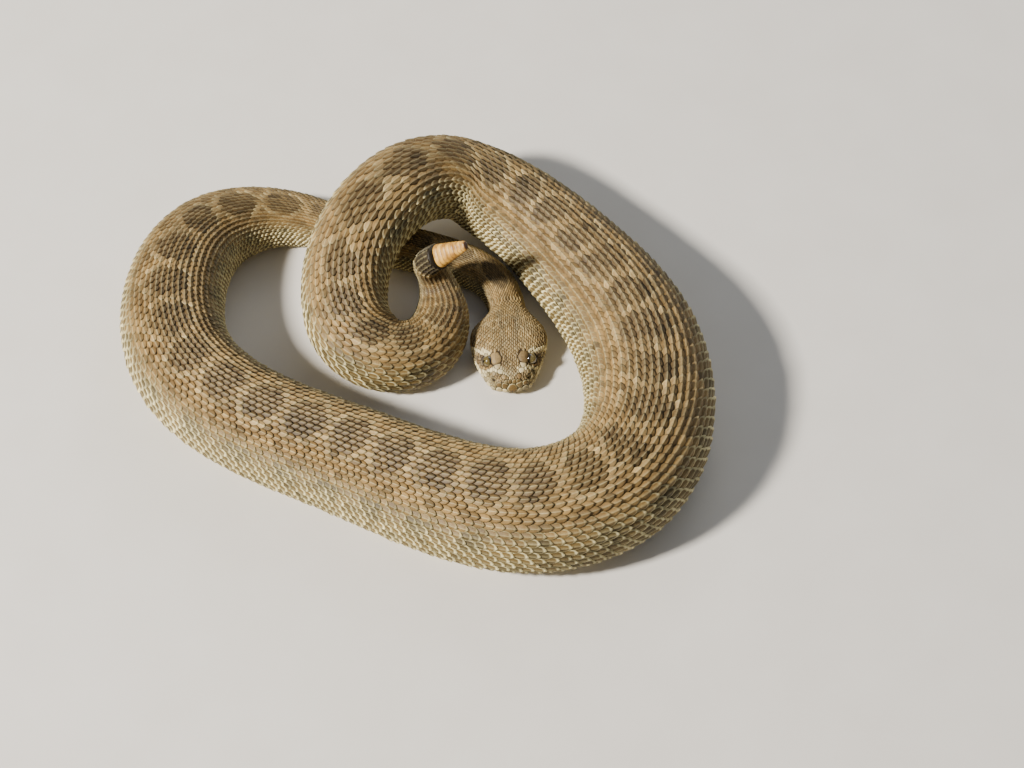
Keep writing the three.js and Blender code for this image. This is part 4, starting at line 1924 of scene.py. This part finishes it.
@dataclass
class Rattle:
    """Loose horny segments, one modelled and the others copied smaller."""

    segments: int = 8
    widths: tuple[float, float] = (12.0, 5.4)
    pitches: tuple[float, float] = (3.2, 2.5)
    flatness: float = 0.72
    gap: float = 0.3
    pinch: float = 0.1

    def build(self) -> bpy.types.Object:
        """Models the first segment, copies it to the tip and joins them.

        Returns:
            The rattle.
        """
        place, along, across, up = LINE.frame(LINE.length)
        base = place + up * float(LINE.width(LINE.length)) * TAIL_HEIGHT / 2
        turn = Matrix((Vector(up), Vector(-across), Vector(along))).transposed().to_4x4()
        advance = self.gap
        copies = []
        pattern = self.segment()
        for number in range(self.segments):
            share = number / (self.segments - 1)
            half = mix(*self.widths, share) / 2
            pitch = mix(*self.pitches, share)
            copy = pattern.copy()
            copy.data = pattern.data.copy()
            bpy.context.scene.collection.objects.link(copy)
            size = Matrix.Diagonal((half * MM, half * self.flatness * MM, pitch * MM, 1.0))
            where = Matrix.Translation(Vector((base + along * advance + SHIFT) * MM))
            copy.data.transform(where @ turn @ size)
            copies.append(copy)
            advance += pitch
        bpy.data.objects.remove(pattern)
        bpy.ops.object.select_all(action="DESELECT")
        for copy in copies:
            copy.select_set(True)
        bpy.context.view_layer.objects.active = copies[0]
        bpy.ops.object.join()
        rattle = bpy.context.object
        rattle.name = "horn_rattle"
        weld(rattle)
        return rattle

    def segment(self) -> bpy.types.Object:
        """Models one segment of unit size, a lobed bell with a groove.

        Returns:
            The segment, with its ring mask on its points.
        """
        bpy.ops.object.select_all(action="DESELECT")
        bpy.ops.mesh.primitive_uv_sphere_add(segments=48, ring_count=24, radius=1.0)
        segment = bpy.context.object
        levels, advances, radii = zip(*SEGMENT_OUTLINE)
        mask = segment.data.attributes.new("ring", "FLOAT", "POINT")
        for number, vertex in enumerate(segment.data.vertices):
            x, y, z = vertex.co
            level = math.asin(max(-1.0, min(1.0, z))) / (math.pi / 2)
            radius = float(np.interp(level, levels, radii))
            angle = math.atan2(y, x)
            narrowed = radius * (1 - self.pinch * abs(math.sin(angle)) ** 6)
            advance = float(np.interp(level, levels, advances))
            vertex.co = (math.cos(angle) * radius, math.sin(angle) * narrowed, advance)
            # the radius, which the horn reads to paint shade into the grooves
            mask.data[number].value = radius
        segment.data.polygons.foreach_set("use_smooth", [True] * len(segment.data.polygons))
        return segment


@dataclass(frozen=True)
class Lamp:
    """One soft square light, placed from the point that it faces, in metres and watts."""

    name: str
    offset: Corner
    size: float
    power: float
    colour: Corner

    def build(self, aim: Vector) -> None:
        """Adds the light.

        Args:
            aim: The point that it faces.
        """
        light = bpy.data.lights.new(self.name, "AREA")
        light.size, light.energy, light.color = self.size, self.power, self.colour
        lamp = bpy.data.objects.new(self.name, light)
        bpy.context.scene.collection.objects.link(lamp)
        lamp.location = aim + Vector(self.offset)
        lamp.rotation_euler = (-Vector(self.offset)).to_track_quat("-Z", "Y").to_euler()


@dataclass
class Studio:
    """Pale floor, soft light from the left and a camera above the snout."""

    distance: float = 1.185
    elevation: float = 55.0
    aim_height: float = 0.020
    lens: float = 85.0
    sensor: float = 36.0
    floor_size: float = 12.0
    air_colour: Colour = (0.85, 0.9, 1.0, 1.0)
    air_strength: float = 0.22
    lamps: tuple[Lamp, ...] = (
        Lamp("key_light", (-2.0, -0.84, 1.76), 0.32, 224.0, (1.0, 0.95, 0.88)),
        Lamp("fill_light", (0.9, 0.8, 0.9), 1.2, 4.0, (0.9, 0.95, 1.0)),
        Lamp("back_light", (0.2, 1.3, 0.8), 0.8, 5.0, (1.0, 1.0, 1.0)),
    )

    def build(self) -> None:
        """Adds the floor, the lights, the air and the camera."""
        self.add_floor()
        aim = Vector((SHIFT[0] * MM, SHIFT[1] * MM, self.aim_height))
        for lamp in self.lamps:
            lamp.build(aim)
        world = bpy.data.worlds.new("studio_air")
        world.use_nodes = True
        background = world.node_tree.nodes["Background"]
        background.inputs["Color"].default_value = self.air_colour
        background.inputs["Strength"].default_value = self.air_strength
        bpy.context.scene.world = world
        self.add_camera(aim)

    def add_floor(self) -> None:
        """Adds a wide floor that the animal rests on."""
        bpy.ops.object.select_all(action="DESELECT")
        bpy.ops.mesh.primitive_plane_add(size=self.floor_size, location=(0, 0, 0))
        floor = bpy.context.object
        floor.name = "studio_floor"
        floor.data.materials.append(FloorFinish().build())
        floor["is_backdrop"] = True

    def add_camera(self, aim: Vector) -> None:
        """Adds the camera and makes it the scene's own.

        Args:
            aim: The point that it faces.
        """
        angle = math.radians(self.elevation)
        camera = bpy.data.cameras.new("camera")
        camera.lens = self.lens
        camera.sensor_width = self.sensor
        stand = bpy.data.objects.new("camera", camera)
        bpy.context.scene.collection.objects.link(stand)
        stand.location = aim + Vector((0, -math.cos(angle), math.sin(angle))) * self.distance
        stand.rotation_euler = (math.pi / 2 - angle, 0.0, 0.0)
        bpy.context.scene.camera = stand


def corners() -> list[list[float]]:
    """Lowest and highest corners of everything shown."""
    return [[float(number) for number in corner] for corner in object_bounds()]


def report(piece: bpy.types.Object) -> None:
    """Logs a piece's name and its number of faces."""
    log.info("%s: %d faces", piece.name, len(piece.data.polygons))


def main() -> None:
    """Builds every piece in order."""
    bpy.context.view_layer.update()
    random = np.random.default_rng(SEED)
    Studio().build()
    log.info("studio ready")
    coat = HideFinish("scaled_hide").build()
    # the skin between the scales gets painted shade, its colours mostly mixed to near-black
    between = HideFinish("hide_between_scales", depth=0.16).build()
    skin = dress(Skin().build(), between)
    flesh = [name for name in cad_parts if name.startswith("body_")]
    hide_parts("head", "lower_jaw", "neck", "tail", *sorted(flesh))
    report(skin)
    for piece in BodyScales(random).build():
        report(dress(piece, coat))
    report(dress(BellyPlates(random).build(), coat))
    report(dress(HeadScales(random).build(), coat))
    glass = EyeFinish().build()
    for side in Side:
        eye = dress(Eye(side).build(), glass)
        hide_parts(f"eye_{side.name.lower()}")
        report(eye)
    rattle = dress(Rattle().build(), HornFinish().build())
    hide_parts("rattle")
    report(rattle)


if __name__ == "__main__":
    logging.basicConfig(level=logging.INFO, format="%(name)s: %(message)s")
    main()
